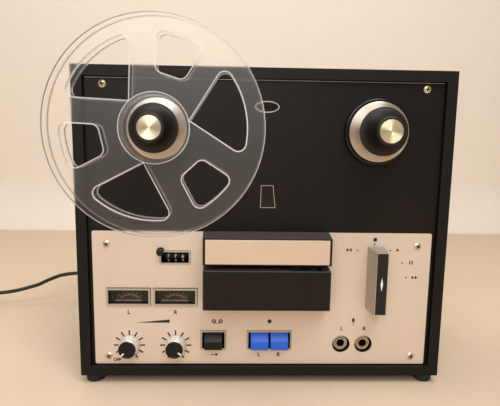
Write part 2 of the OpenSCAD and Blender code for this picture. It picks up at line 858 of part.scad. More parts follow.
// A tape head whose rounded face looks down at the slot
module tape_head(x, w) {
    slab(head_z, path_front) translate([x, path_y]) intersection() {
        translate([-w / 2, 0]) square([w, head_l]);
        translate([0, head_round]) circle(head_round);
    }
}

module erase_head() {
    color("#3a3a3a") upright() tape_head(erase_x, erase_w);
}

module record_play_head() {
    color("#bfbcb4") upright() tape_head(record_x, record_w);
}

module tape_guides() {
    guide_y = path_y + guide_flange_d / 2;
    color("#c9c6be") upright() for (x = guide_x) translate([x, guide_y]) {
        rod(guide_post_d, bracket_t, path_front);
        rod(guide_flange_d, bracket_t, head_z + 2.5);
        rod(guide_flange_d, path_front - 1.2, path_front);
    }
}

module pinch_arm() {
    to_roller = [capstan_x, roller_y] - pinch_pivot;
    arm_w = 5;
    color("#8a8a86") upright() translate(pinch_pivot) {
        difference() {
            union() {
                rod(2 * pinch_pin_d, bracket_t + clearance, head_z);
                slab(pinch_arm_z, pinch_arm_z + pinch_arm_t) {
                    rotate(atan2(to_roller[1], to_roller[0])) translate([0, -arm_w / 2])
                        square([norm(to_roller), arm_w]);
                    translate(to_roller) circle(d = arm_w + 2);
                }
            }
            rod(pinch_pin_d + 2 * run_fit, 0, head_z + 1);
        }
        translate(to_roller) rod(pinch_axle_d, pinch_arm_z, path_front);
    }
}

module pinch_roller() {
    color("#1d1c1b") upright() translate([capstan_x, roller_y]) difference() {
        rod(pinch_d, roller_front - pinch_w, roller_front);
        rod(pinch_axle_d + 2 * run_fit, 0, cover_z);
    }
}

// Turntables, reel and caps

module spindle(side) {
    translate([spindle_x[side], spindle_y]) {
        rod(spindle_d, spindle_rear, cap_seats[side] + cap_bore_l);
        rod(spindle_d + 4, spindle_rear, spindle_rear + 1.6);
    }
}

module turntable(x) {
    lip = 1.6;
    translate([x, spindle_y]) rotate_extrude() polygon([
        [spindle_d / 2, turntable_gap], [turntable_d / 2 - lip, turntable_gap],
        [turntable_d / 2, turntable_gap + lip], [turntable_d / 2, turntable_front - 2 * lip],
        [turntable_d / 2 - lip, turntable_front - lip], [disc_d / 2, turntable_front - lip],
        [disc_d / 2 - lip / 2, turntable_front], [spindle_d / 2, turntable_front]
    ]);
}

module metal_disc(x) {
    bevel = 0.9;
    translate([x, spindle_y]) rotate_extrude() polygon([
        [spindle_d / 2, turntable_front], [disc_d / 2 - bevel, turntable_front],
        [disc_d / 2, turntable_front + bevel], [disc_d / 2, disc_front - bevel],
        [disc_d / 2 - bevel, disc_front], [spindle_d / 2, disc_front]
    ]);
}

// Reel cap: a skirt that draws in to a neck and a domed shoulder round a flat recess
module reel_cap(side) {
    skirt_h = 1.6;
    shoulder = (cap_neck_d - cap_disc_d) / 2 - 0.6;
    shoulder_at = cap_h - shoulder;
    draw_in = (cap_d - cap_neck_d) / 2;
    steps = 10;
    waist = [
        for (i = [0 : steps])
            let (a = 90 * i / steps)
            [cap_d / 2 - draw_in * sin(a), skirt_h + (shoulder_at - skirt_h) * (1 - cos(a))]
    ];
    dome = [
        for (i = [1 : steps])
            let (a = 90 * i / steps)
            [cap_neck_d / 2 - shoulder * (1 - cos(a)), shoulder_at + shoulder * sin(a)]
    ];
    recess = cap_disc_d / 2 + 0.1;
    bore = spindle_d / 2;
    translate([spindle_x[side], spindle_y, cap_seats[side]]) rotate_extrude() polygon(concat(
        [[bore, 0], [cap_d / 2, 0]], waist, dome,
        [[recess, cap_h], [recess, cap_h - cap_disc_t], [0, cap_h - cap_disc_t],
         [0, cap_bore_l], [bore, cap_bore_l]]
    ));
}

// A large flange window: a corner at the hub, two straight sides and an arc near the rim
module large_window() {
    half = large_window_half;
    apex = hub_d / 2 + 0.6;
    reach = window_r - window_corner;
    base = apex + window_corner / sin(half);
    along = -base * cos(half) + sqrt(reach * reach - pow(base * sin(half), 2));
    corner = [base + along * cos(half), along * sin(half)];
    corner_a = atan2(corner[1], corner[0]);
    polygon(concat(
        [[apex, 0]],
        arc_points([corner[0], -corner[1]], window_corner, -90 - half, -corner_a, 12),
        arc_points([0, 0], window_r, -corner_a, corner_a, 40),
        arc_points(corner, window_corner, corner_a, 90 + half, 12)
    ));
}

// A small flange window: a flat inner end, radial sides and an arc near the rim
module small_window() {
    half = small_window_half;
    reach = window_r - window_corner;
    inner = small_window_in + window_corner;
    outer_a = half - asin(window_corner / reach);
    inner_a = half - asin(window_corner / inner);
    outer = reach * [cos(outer_a), sin(outer_a)];
    near = inner * [cos(inner_a), sin(inner_a)];
    polygon(concat(
        arc_points([near[0], -near[1]], window_corner, -180, -90 - half, 8),
        arc_points([outer[0], -outer[1]], window_corner, -90 - half, -outer_a, 12),
        arc_points([0, 0], window_r, -outer_a, outer_a, 8),
        arc_points(outer, window_corner, outer_a, 90 + half, 12),
        arc_points(near, window_corner, 90 + half, 180, 8)
    ));
}

module flange_outline() {
    difference() {
        circle(d = reel_d, $fn = 144);
        circle(d = reel_bore);
        for (i = [0 : 2]) {
            rotate(first_window_at + 120 * i) large_window();
            rotate(first_window_at + 60 + 120 * i) small_window();
        }
    }
}

module ring(outer, inner) {
    difference() {
        circle(d = outer, $fn = 144);
        circle(d = inner, $fn = 144);
    }
}

// One moulded half of the reel: flange, rim bead and half the hub
module reel_half(flange_z, hub_z0, hub_z1, bead_z0, bead_z1) {
    translate([spindle_x[0], spindle_y]) {
        slab(flange_z, flange_z + flange_t) flange_outline();
        slab(bead_z0, bead_z1) ring(reel_d, reel_d - 2 * rim_w);
        slab(hub_z0, hub_z1) ring(hub_d, hub_d - 2 * hub_wall);
    }
}

module reel_rear_half() {
    color("#d9d6cf", 0.5) upright() reel_half(disc_front, disc_front + flange_t, disc_front + reel_t / 2,
        disc_front - bead_h, disc_front + flange_t + bead_h);
}

module reel_front_half() {
    flange_z = reel_front - flange_t;
    color("#d9d6cf", 0.5) upright() {
        reel_half(flange_z, disc_front + reel_t / 2, flange_z, flange_z - bead_h, reel_front + bead_h);
        translate([spindle_x[0], spindle_y])
            slab(reel_front, reel_front + 2 * bead_h) ring(hub_d, hub_d - 2 * hub_wall);
    }
}

module supply_spindle() {
    color("#c4c2bb") upright() spindle(0);
}

module supply_turntable() {
    color("#161616") upright() turntable(spindle_x[0]);
}

module supply_disc() {
    color("#d5d1c9") upright() metal_disc(spindle_x[0]);
}

module supply_cap() {
    color("#1e1c1a") upright() reel_cap(0);
}

module takeup_spindle() {
    color("#c4c2bb") upright() spindle(1);
}

module takeup_turntable() {
    color("#161616") upright() turntable(spindle_x[1]);
}

module takeup_disc() {
    color("#d5d1c9") upright() metal_disc(spindle_x[1]);
}

module takeup_cap() {
    color("#1e1c1a") upright() reel_cap(1);
}

// Meters

module meter_cases() {
    window_w = meter_w - 2 * meter_rim;
    window_h = meter_h - 2 * meter_rim;
    body_low = -needle_drop - 5;
    body_high = meter_h / 2 + 1.6;
    color("#2b2a28") upright() for (x = channels) translate([x, meter_y]) {
        difference() {
            union() {
                slab(deck_back, meter_front) square([meter_w, meter_h], center = true);
                slab(meter_body_rear, deck_back) translate([-meter_body_w / 2, body_low])
                    square([meter_body_w, body_high - body_low]);
            }
            slab(dial_z, meter_front + 1) square([window_w, window_h], center = true);
            slab(dial_z, deck_back - meter_wall) translate([-window_w / 2, body_low + meter_wall])
                square([window_w, window_h / 2 - body_low - meter_wall]);
        }
        translate([0, -needle_drop]) rod(needle_pin_d, dial_z, needle_z + needle_t + 0.8);
    }
}

module meter_lenses() {
    gap = 0.1;
    lens_t = 1.5;
    color("#e8eef0", 0.4) upright() for (x = channels) translate([x, meter_y])
        slab(panel_t - 1, panel_t - 1 + lens_t)
            square([meter_w - 2 * meter_rim - 2 * gap, meter_h - 2 * meter_rim - 2 * gap], center = true);
}

// A needle that rests at the left end of its sweep
module meter_needle(x) {
    hub_d = 4;
    translate([x, meter_y - needle_drop]) difference() {
        union() {
            rod(hub_d, dial_z + clearance, needle_z + needle_t);
            slab(needle_z, needle_z + needle_t) rotate(needle_sweep / 2) polygon([
                [-0.6, 0], [0.6, 0], [0.25, needle_l], [-0.25, needle_l]
            ]);
        }
        rod(needle_pin_d + 2 * run_fit, dial_z - 1, needle_z + needle_t + 1);
    }
}

module left_meter_needle() {
    color("#c8381e") upright() meter_needle(channels[0]);
}

module right_meter_needle() {
    color("#c8381e") upright() meter_needle(channels[1]);
}

// Counter

module counter_housing() {
    body_w = counter_w + 5;
    body_h = drum_d + 5;
    room_w = 2 * (drum_pitch + drum_w / 2 + 3);
    room_front = deck_back - 0.8;
    nose_root = deck_back - 0.4;
    collar_at = drum_pitch + drum_w / 2 + clearance;
    color("#1a1a19") upright() translate([counter_x, counter_y]) {
        difference() {
            union() {
                slab(nose_root, counter_front) square([counter_w, counter_h], center = true);
                slab(nose_root, counter_front) translate(reset_at) circle(d = reset_boss_d);
                slab(counter_rear, deck_back) square([body_w, body_h], center = true);
            }
            slab(deck_back - 1, counter_front + 1) difference() {
                square([counter_w - 2 * counter_rim, counter_h - 2 * counter_rim], center = true);
                translate(reset_at) circle(d = reset_boss_d);
            }
            slab(counter_rear + 1.6, room_front) square([room_w, drum_d + 1.2], center = true);
            translate(reset_at) rod(reset_stem_d + 2 * clearance, counter_rear - 1, counter_front + 1);
        }
        translate([0, 0, drum_z]) rotate([0, 90, 0]) {
            rod(axle_d, -room_w / 2 - 0.5, room_w / 2 + 0.5);
            for (a = [0, 180]) rotate([0, a, 0]) rod(axle_d + 2, collar_at, room_w / 2 + 0.5);
        }
    }
}

// A number drum; place counts from the left of the window
module number_drum(place) {
    translate([counter_x + (place - 1) * drum_pitch, counter_y, drum_z]) rotate([0, 90, 0]) difference() {
        rod(drum_d, -drum_w / 2, drum_w / 2);
        rod(axle_d + 2 * run_fit, -drum_w, drum_w);
    }
}

module counter_hundreds() {
    color("#151515") upright() number_drum(0);
}

module counter_tens() {
    color("#151515") upright() number_drum(1);
}

module counter_units() {
    color("#151515") upright() number_drum(2);
}

module counter_reset() {
    button_z = counter_front + clearance + reset_travel;
    color("#101010") upright() translate([counter_x + reset_at[0], counter_y + reset_at[1]]) {
        rod(reset_d, button_z, reset_front + reset_travel);
        rod(reset_stem_d, deck_back - 6, button_z);
    }
}

// Volume controls

module volume_pots() {
    plate_t = 1.6;
    color("#a9a69c") upright() for (x = channels) translate([x, knob_y]) difference() {
        union() {
            slab(deck_back - plate_t, deck_back) square([pot_d - 3, pot_d - 3], center = true);
            rod(pot_d, pot_rear, deck_back - plate_t);
            rod(pot_bush_d, deck_back, panel_t);
        }
        rod(stem_d + 2 * run_fit, stem_rear - 1, panel_t + 1);
    }
}

// A knob whose pointer groove stands at an angle clockwise from the top
module volume_knob(x, at) {
    pointer_w = 1.2;
    pointer_l = 3.4;
    skirt_z = knob_z - knob_face_t;
    color("#cfccc6") upright() translate([x, knob_y]) difference() {
        union() {
            rotate_extrude() polygon([
                [0, knob_gap], [knob_d / 2, knob_gap], [knob_d / 2, knob_gap + 1],
                [knob_face_d / 2 + 0.5, skirt_z], [knob_face_d / 2, skirt_z], [knob_face_d / 2, knob_z - 0.5],
                [knob_face_d / 2 - 0.5, knob_z], [0, knob_z]
            ]);
            rod(stem_d, stem_rear, knob_gap + 1);
        }
        rotate(-at) translate([-pointer_w / 2, knob_face_d / 2 - pointer_l, knob_z - 0.4])
            cube([pointer_w, pointer_l + 1, 1]);
    }
}

module left_volume_knob() {
    volume_knob(channels[0], left_volume_at);
}

module right_volume_knob() {
    volume_knob(channels[1], right_volume_at);
}

// Keys

// Outer outline of a key frame's nose, grown by a gap on each side
module key_frame_outline(window_w, gap) {
    square([window_w + 2 * key_rim + 2 * gap, key_window_h + 2 * key_rim + 2 * gap], center = true);
}

// A key frame set in from behind, with a guide for each key
module key_frame(x, window_w, guides) {
    flange = 2.4;
    color("#c9c2b6") upright() translate([x, key_y]) difference() {
        union() {
            slab(deck_back, key_frame_front) key_frame_outline(window_w, 0);
            slab(key_frame_rear, deck_back) key_frame_outline(window_w, flange);
        }
        slab(key_shelf, key_frame_front + 1) square([window_w, key_window_h], center = true);
        for (g = guides) translate([g, 0]) slab(key_frame_rear + 2, key_shelf + 1)
            square([key_w + 2 * clearance, key_h + 2 * clearance], center = true);
    }
}

module input_key_frame() {
    key_frame(input_key_x, single_window_w, [0]);
}

module record_key_frame() {
    key_frame(record_key_x, double_window_w, [-record_key_spacing / 2, record_key_spacing / 2]);
}

// A key with an upright front below and a slope that falls back towards the panel above
module push_key(x) {
    crease_y = 0.8;
    slope_z = 1.2;
    edge = 0.8;
    translate([x, key_y]) run_x(key_w) polygon([
        [-key_h / 2, key_rear], [key_h / 2, key_rear], [key_h / 2, slope_z],
        [crease_y + 1.2, key_z - 0.6], [crease_y, key_z],
        [edge - key_h / 2, key_z], [-key_h / 2, key_z - edge]
    ]);
}

module input_key() {
    color("#1f1d1b") upright() push_key(input_key_x);
}

module left_record_key() {
    color("#3d66cf") upright() push_key(record_keys[0]);
}

module right_record_key() {
    color("#3d66cf") upright() push_key(record_keys[1]);
}

// Jacks

module mic_jacks() {
    nut_d = 14;
    nose_d = 10;
    body_w = 15;
    nut_h = 1.4;
    flange_rear = jack_plate - jack_flange_t;
    color("#b5a888") upright() for (x = jacks) translate([x, jack_y]) difference() {
        union() {
            difference() {
                rod(jack_spacing - 1, flange_rear, deck_back);
                rod(jack_recess_d, jack_plate, deck_back + 1);
            }
            rod(nut_d, jack_plate, jack_plate + nut_h);
            rod(nose_d, jack_plate, jack_front);
            slab(jack_front - jack_bore_l - 2, flange_rear) square([body_w, body_w], center = true);
        }
        rod(jack_bore, jack_front - jack_bore_l, jack_front + 1);
    }
}

module line_jacks() {
    color("#c9b27a") upright() for (p = line_jack_at) translate([p[0], p[1], back_face]) rotate([0, 180, 0])
        difference() {
            union() {
                rod(line_shell_d - 1, -back_t - 6, 0.1);
                rod(line_shell_d + 3, 0, line_flange_t);
                rod(line_shell_d, line_flange_t, line_flange_t + line_shell_l);
            }
            rod(3.2, line_flange_t, line_flange_t + line_shell_l + 1);
        }
}

// Function lever

module function_lever() {
    color("#b9b3a8") upright() translate([lever_x, lever_y]) difference() {
        tapered_block(lever_w, lever_l, lever_front_w, lever_front_l, lever_gap, lever_z);
        slab(lever_z - insert_t, lever_z + 1)
            square([lever_front_w - 2 * lever_edge, lever_front_l - 2 * lever_edge], center = true);
        rod(lever_shaft_d, lever_gap - 1, lever_gap + 10);
    }
}

module lever_insert() {
    color("#161514") upright() translate([lever_x, lever_y]) slab(lever_z - insert_t, lever_z)
        square([lever_front_w - 2 * lever_edge, lever_front_l - 2 * lever_edge], center = true);
}

module lever_cam() {
    notch_d = 3;
    color("#9c9a94") upright() translate([lever_x, lever_y]) {
        rod(lever_shaft_d, lever_shaft_rear, lever_gap + 10);
        slab(cam_rear, cam_front) difference() {
            union() {
                circle(d = cam_d);
                translate([-cam_d / 2 - 3, -4]) square([cam_d / 2 + 3, 8]);
            }
            for (i = [-1 : 3]) rotate(180 - i * lever_step) translate([0, cam_d / 2]) circle(d = notch_d);
        }
    }
}

// Electrics inside

module power_transformer() {
    foot_t = 2;
    foot_w = transformer_w + 20;
    winding_w = 36;
    winding_h = 32;
    winding_l = transformer_l + 16;
    color("#4a4540") upright() translate([transformer_x, board_t, back_inner + 46]) {
        translate([-transformer_w / 2, 0, -transformer_l / 2])
            cube([transformer_w, transformer_h, transformer_l]);
        translate([-winding_w / 2, (transformer_h - winding_h) / 2, -winding_l / 2])
            cube([winding_w, winding_h, winding_l]);
        translate([-foot_w / 2, 0, -transformer_l / 2]) cube([foot_w, foot_t, transformer_l]);
    }
}

// Board that fills the floor between the left glue block and the transformer
module amplifier_board() {
    left = block_w + 5.5 - inside_w / 2;
    right = transformer_x - transformer_w / 2 - 21.5;
    length = right - left;
    depth = 80;
    thickness = 1.6;
    stand = 15;
    inset = 6;
    color("#7a5a2c") upright() translate([left, board_t + stand, back_inner + 15.5]) {
        cube([length, thickness, depth]);
        for (x = [inset, length - inset], z = [inset, depth - inset])
            translate([x, 0, z]) rotate([90, 0, 0]) rod(7, -0.5, stand);
        for (share = [0.12, 0.28]) translate([share * length, 0, 20]) rotate([-90, 0, 0]) rod(20, 1, 32);
        for (i = [0 : 5])
            translate([(0.42 + 0.085 * i) * length, 0, 26]) rotate([-90, 0, 0]) rod(8, 1, 14);
        for (i = [0 : 3]) translate([(0.44 + 0.12 * i) * length, 1, 52]) cube([14, 10, 8]);
    }
}

// Mains lead

// Tapered relief that the lead leaves through, ribbed like a bellows
module strain_relief() {
    flange_t = 2.5;
    ribs = 5;
    rib_l = (relief_l - flange_t) / ribs;
    root_d = lead_d + 5;
    color("#121212") upright() translate([relief_at[0], relief_at[1], back_face]) rotate([0, 180, 0]) {
        rod(lead_d + 5, -back_t, 0.1);
        rod(16, 0, flange_t);
        for (i = [0 : ribs - 1]) {
            d0 = root_d + 3 - i * 1.1;
            rod(d0, flange_t + i * rib_l, flange_t + (i + 0.6) * rib_l);
            rod(d0 - 2.2, flange_t + i * rib_l, flange_t + (i + 1) * rib_l);
        }
    }
}

// One ring of a tube round point p, square to the heading
function tube_ring(p, heading, d, sides) =
    let (along = unit(heading), side = unit(cross(along, [0, 0, 1])), over = cross(side, along))
    [for (i = [0 : sides - 1]) p + d / 2 * (cos(360 * i / sides) * side + sin(360 * i / sides) * over)];

// Heading of a route at its point i
function unit(v) = v / norm(v);
function route_heading(route, i) =
    i == 0 ? route[1] - route[0]
    : i == len(route) - 1 ? route[i] - route[i - 1]
    : unit(route[i + 1] - route[i]) + unit(route[i] - route[i - 1]);

// A closed tube along a route, in triangles
module tube(route, d, sides) {
    last = len(route) - 1;
    points = [for (i = [0 : last]) each tube_ring(route[i], route_heading(route, i), d, sides)];
    walls = [
        for (i = [0 : last - 1], k = [0 : sides - 1])
            let (a = i * sides + k, b = i * sides + (k + 1) % sides)
            each [[a, b, a + sides], [b, b + sides, a + sides]]
    ];
    first_cap = [for (k = [1 : sides - 2]) [0, k + 1, k]];
    last_cap = [for (k = [1 : sides - 2]) [last * sides, last * sides + k, last * sides + k + 1]];
    polyhedron(points, concat(walls, first_cap, last_cap));
}

module power_cord() {
    color("#141414") tube(lead_route, lead_d, lead_sides);
}

// The coil goes down from its top layer: in, out, in and out again, with half a turn to change layer
span = layer_turns + 0.5;
coil_turns = coil_layers * span - 0.5;

// Share of a layer's spiral that is done at turn t, from 0 to 1
function spiral_done(t) = min(1, (t - floor(t / span) * span) / layer_turns);
function layer_of(t) = floor(t / span);
function climb_done(t) = max(0, (t - layer_of(t) * span - layer_turns) / 0.5);
function coil_radius(t) = layer_of(t) % 2 == 0
    ? coil_out - (coil_out - coil_in) * spiral_done(t)
    : coil_in + (coil_out - coil_in) * spiral_done(t);
function coil_height(t) = coil_top - coil_step * (layer_of(t) + climb_done(t));
function coil_point(t) =
    let (a = 90 + 360 * t, r = coil_radius(t))
    [coil_at[0] + r * cos(a), coil_at[1] + r * sin(a), coil_height(t)];

// The tail runs on from the last turn and rises to the middle of the plug
tail_steps = 6;
tail_from = [coil_at[0] - coil_out, coil_at[1], coil_low];
tail = [
    for (i = [1 : tail_steps])
        let (s = i / tail_steps)
        tail_from + [0, -tail_l * s, (plug_h / 2 - coil_low) * s * s * (3 - 2 * s)]
];
plug_at = tail[tail_steps - 1] - [0, lead_d, 0];
last_ring = coil_turns * coil_rings - 0.5;
coil_route = concat(
    [coil_start],
    [for (i = [0 : last_ring]) coil_point(i / coil_rings)],
    [tail_from], tail, [plug_at]
);

// Least gap between coil points that are more than half a turn apart
function least_gap(route, apart) = min([
    for (i = [0 : len(route) - 1], j = [i + apart : 1 : len(route) - 1]) norm(route[i] - route[j])
]) - lead_d;

module cord_coil() {
    echo(least_gap_of_the_coil_to_itself = least_gap(coil_route, coil_rings / 2));
    color("#141414") tube(coil_route, lead_d, coil_sides);
}

module cord_tie() {
    tie_w = 5;
    room = lead_d / 2 + clearance;
    y0 = coil_in - room;
    y1 = coil_out + room;
    z0 = coil_low - room;
    z1 = coil_top + room;
    color("#2c2c2c") translate([coil_at[0], coil_at[1]]) rotate(180) difference() {
        translate([-tie_w / 2, y0 - tie_t, z0 - tie_t])
            cube([tie_w, y1 - y0 + 2 * tie_t, z1 - z0 + 2 * tie_t]);
        translate([-tie_w, y0, z0]) cube([2 * tie_w, y1 - y0, z1 - z0]);
    }
}

// Flat two pin plug that lies on the floor beside the coil
module power_plug() {
    blade = [1.5, 17, 6.3];
    blade_spacing = 12.7;
    color("#151515") translate(plug_at) rotate([0, 0, 180]) {
        rotate([-90, 0, 0]) {
            cylinder(d = lead_d + 3.4, h = boot_l + 1);
            translate([0, 0, 4]) cylinder(d = lead_d + 5.4, h = boot_l - 3);
        }
        translate([0, boot_l, 0]) run_y_round(plug_w, plug_h, plug_l);
        for (s = [-1, 1])
            translate([s * blade_spacing / 2 - blade[0] / 2, boot_l + plug_l - 1, -blade[2] / 2])
                cube(blade + [0, 1, 0]);
    }
}

// A rounded bar of width w and height h that runs along +Y
module run_y_round(w, h, l) {
    rotate([-90, 0, 0]) linear_extrude(l) rounded_rect(w, h, 4);
}

// Drawing

cabinet_box();
back_panel();
case_screws();
feet();
deck_plate();
control_panel();
transport_chassis();
shaft_bearings();
upper_head_cover();
cover_faceplate();
lower_head_cover();
head_bracket();
erase_head();
record_play_head();
tape_guides();
drive_motor();
drive_belt();
counter_housing();
meter_cases();
meter_lenses();
input_key_frame();
record_key_frame();
mic_jacks();
volume_pots();
power_transformer();
amplifier_board();
line_jacks();
strain_relief();
power_cord();
cord_coil();
cord_tie();
power_plug();
supply_spindle();
supply_turntable();
supply_disc();
reel_rear_half();
reel_front_half();
supply_cap();
takeup_spindle();
takeup_turntable();
takeup_disc();
takeup_cap();
capstan_flywheel();
motor_pulley();
pinch_arm();
pinch_roller();
function_lever();
lever_insert();
lever_cam();
counter_hundreds();
counter_tens();
counter_units();
counter_reset();
left_volume_knob();
right_volume_knob();
input_key();
left_record_key();
right_record_key();
left_meter_needle();
right_meter_needle();
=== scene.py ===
"""Looks of an upright reel-to-reel tape recorder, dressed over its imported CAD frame.

Pieces are drawn in the lying deck's millimetres, as in the part's source: X runs to the right,
Y up the deck from the cabinet's underside and Z out of the deck face. DeckFrame stands them up.
"""

import logging
import math
from dataclasses import dataclass
from enum import Enum
from typing import Any, Iterable, Sequence

import bmesh
import bpy
from mathutils import Matrix, Vector
from mathutils.geometry import tessellate_polygon


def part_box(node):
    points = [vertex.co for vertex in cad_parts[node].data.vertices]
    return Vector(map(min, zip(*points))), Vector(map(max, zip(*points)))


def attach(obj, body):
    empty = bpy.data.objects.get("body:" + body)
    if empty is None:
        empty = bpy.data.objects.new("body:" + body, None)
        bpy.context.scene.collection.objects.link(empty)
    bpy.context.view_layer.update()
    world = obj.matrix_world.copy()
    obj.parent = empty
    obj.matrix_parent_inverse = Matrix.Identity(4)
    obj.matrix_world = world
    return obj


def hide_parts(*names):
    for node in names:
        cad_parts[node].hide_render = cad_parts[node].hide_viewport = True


LOG = logging.getLogger("recorder")
MM = 0.001
# Soft clouds in every finish, and how much of its pattern is the fine grain
CLOUDS_PER_M = 28.0
GRAIN_SHARE = 0.65
Flat = tuple[float, float]
Place = tuple[float, float, float, float]

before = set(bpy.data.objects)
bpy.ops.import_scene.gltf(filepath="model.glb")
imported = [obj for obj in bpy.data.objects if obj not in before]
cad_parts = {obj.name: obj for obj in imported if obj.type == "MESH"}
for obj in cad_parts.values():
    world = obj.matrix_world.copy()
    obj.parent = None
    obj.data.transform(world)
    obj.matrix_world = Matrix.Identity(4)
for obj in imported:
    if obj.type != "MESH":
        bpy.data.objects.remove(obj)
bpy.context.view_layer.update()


@dataclass(frozen=True)
class DeckFrame:
    """Where the lying deck's millimetres stand in the row frame, in metres."""

    middle_x: float
    face_y: float
    underside_z: float

    @classmethod
    def from_nodes(cls) -> "DeckFrame":
        """Read the deck's place from the deck plate and the cabinet."""
        low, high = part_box("deck_plate")
        return cls((low.x + high.x) / 2, low.y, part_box("cabinet_box")[0].z)

    def matrix(self) -> Matrix:
        """Matrix that takes deck millimetres to the row frame."""
        stand_up = Matrix.Rotation(math.pi / 2, 4, "X") @ Matrix.Scale(MM, 4)
        return Matrix.Translation((self.middle_x, self.face_y, self.underside_z)) @ stand_up

    def box(self, node: str) -> tuple[Vector, Vector]:
        """Lowest and highest corner of a CAD node in deck millimetres.

        Args:
            node: Name of the node.

        Returns:
            Both corners.
        """
        low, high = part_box(node)
        a = self.matrix().inverted() @ low
        b = self.matrix().inverted() @ high
        return Vector(map(min, a, b)), Vector(map(max, a, b))

    def middle(self, node: str) -> Vector:
        """Middle of a CAD node's box in deck millimetres."""
        low, high = self.box(node)
        return (low + high) / 2


DECK = DeckFrame.from_nodes()


def linear(code: str) -> tuple[float, float, float, float]:
    """Turn an sRGB hex colour into a linear one.

    Args:
        code: Colour such as "#e2cbb4".

    Returns:
        Red, green, blue and alpha for a node socket.
    """
    parts = [int(code[i:i + 2], 16) / 255 for i in (1, 3, 5)]
    return (*(c / 12.92 if c <= 0.04045 else ((c + 0.055) / 1.055) ** 2.4 for c in parts), 1.0)


def add(tree: bpy.types.NodeTree, kind: str, inputs: dict[Any, Any] | None = None,
        **settings: Any) -> bpy.types.Node:
    """Add a node with its settings, input values and links.

    Args:
        tree: Node tree that gets the node.
        kind: The node's class name.
        inputs: Values or output sockets by the input's name or number.
        **settings: Properties of the node.

    Returns:
        The new node.
    """
    node = tree.nodes.new(kind)
    for name, value in settings.items():
        setattr(node, name, value)
    for key, value in (inputs or {}).items():
        if isinstance(value, bpy.types.NodeSocket):
            tree.links.new(value, node.inputs[key])
        else:
            node.inputs[key].default_value = value
    return node


class Grain(Enum):
    """How the fine structure of a surface lies."""

    SPECKS = "fine random grain of a moulding or a paint film"
    CELLS = "raised cells of an embossed leathercloth"
    STROKES = "long strokes of brushing along X"
    RINGS = "turning marks round an axis along Y"
    FIBRES = "short pressed fibres"


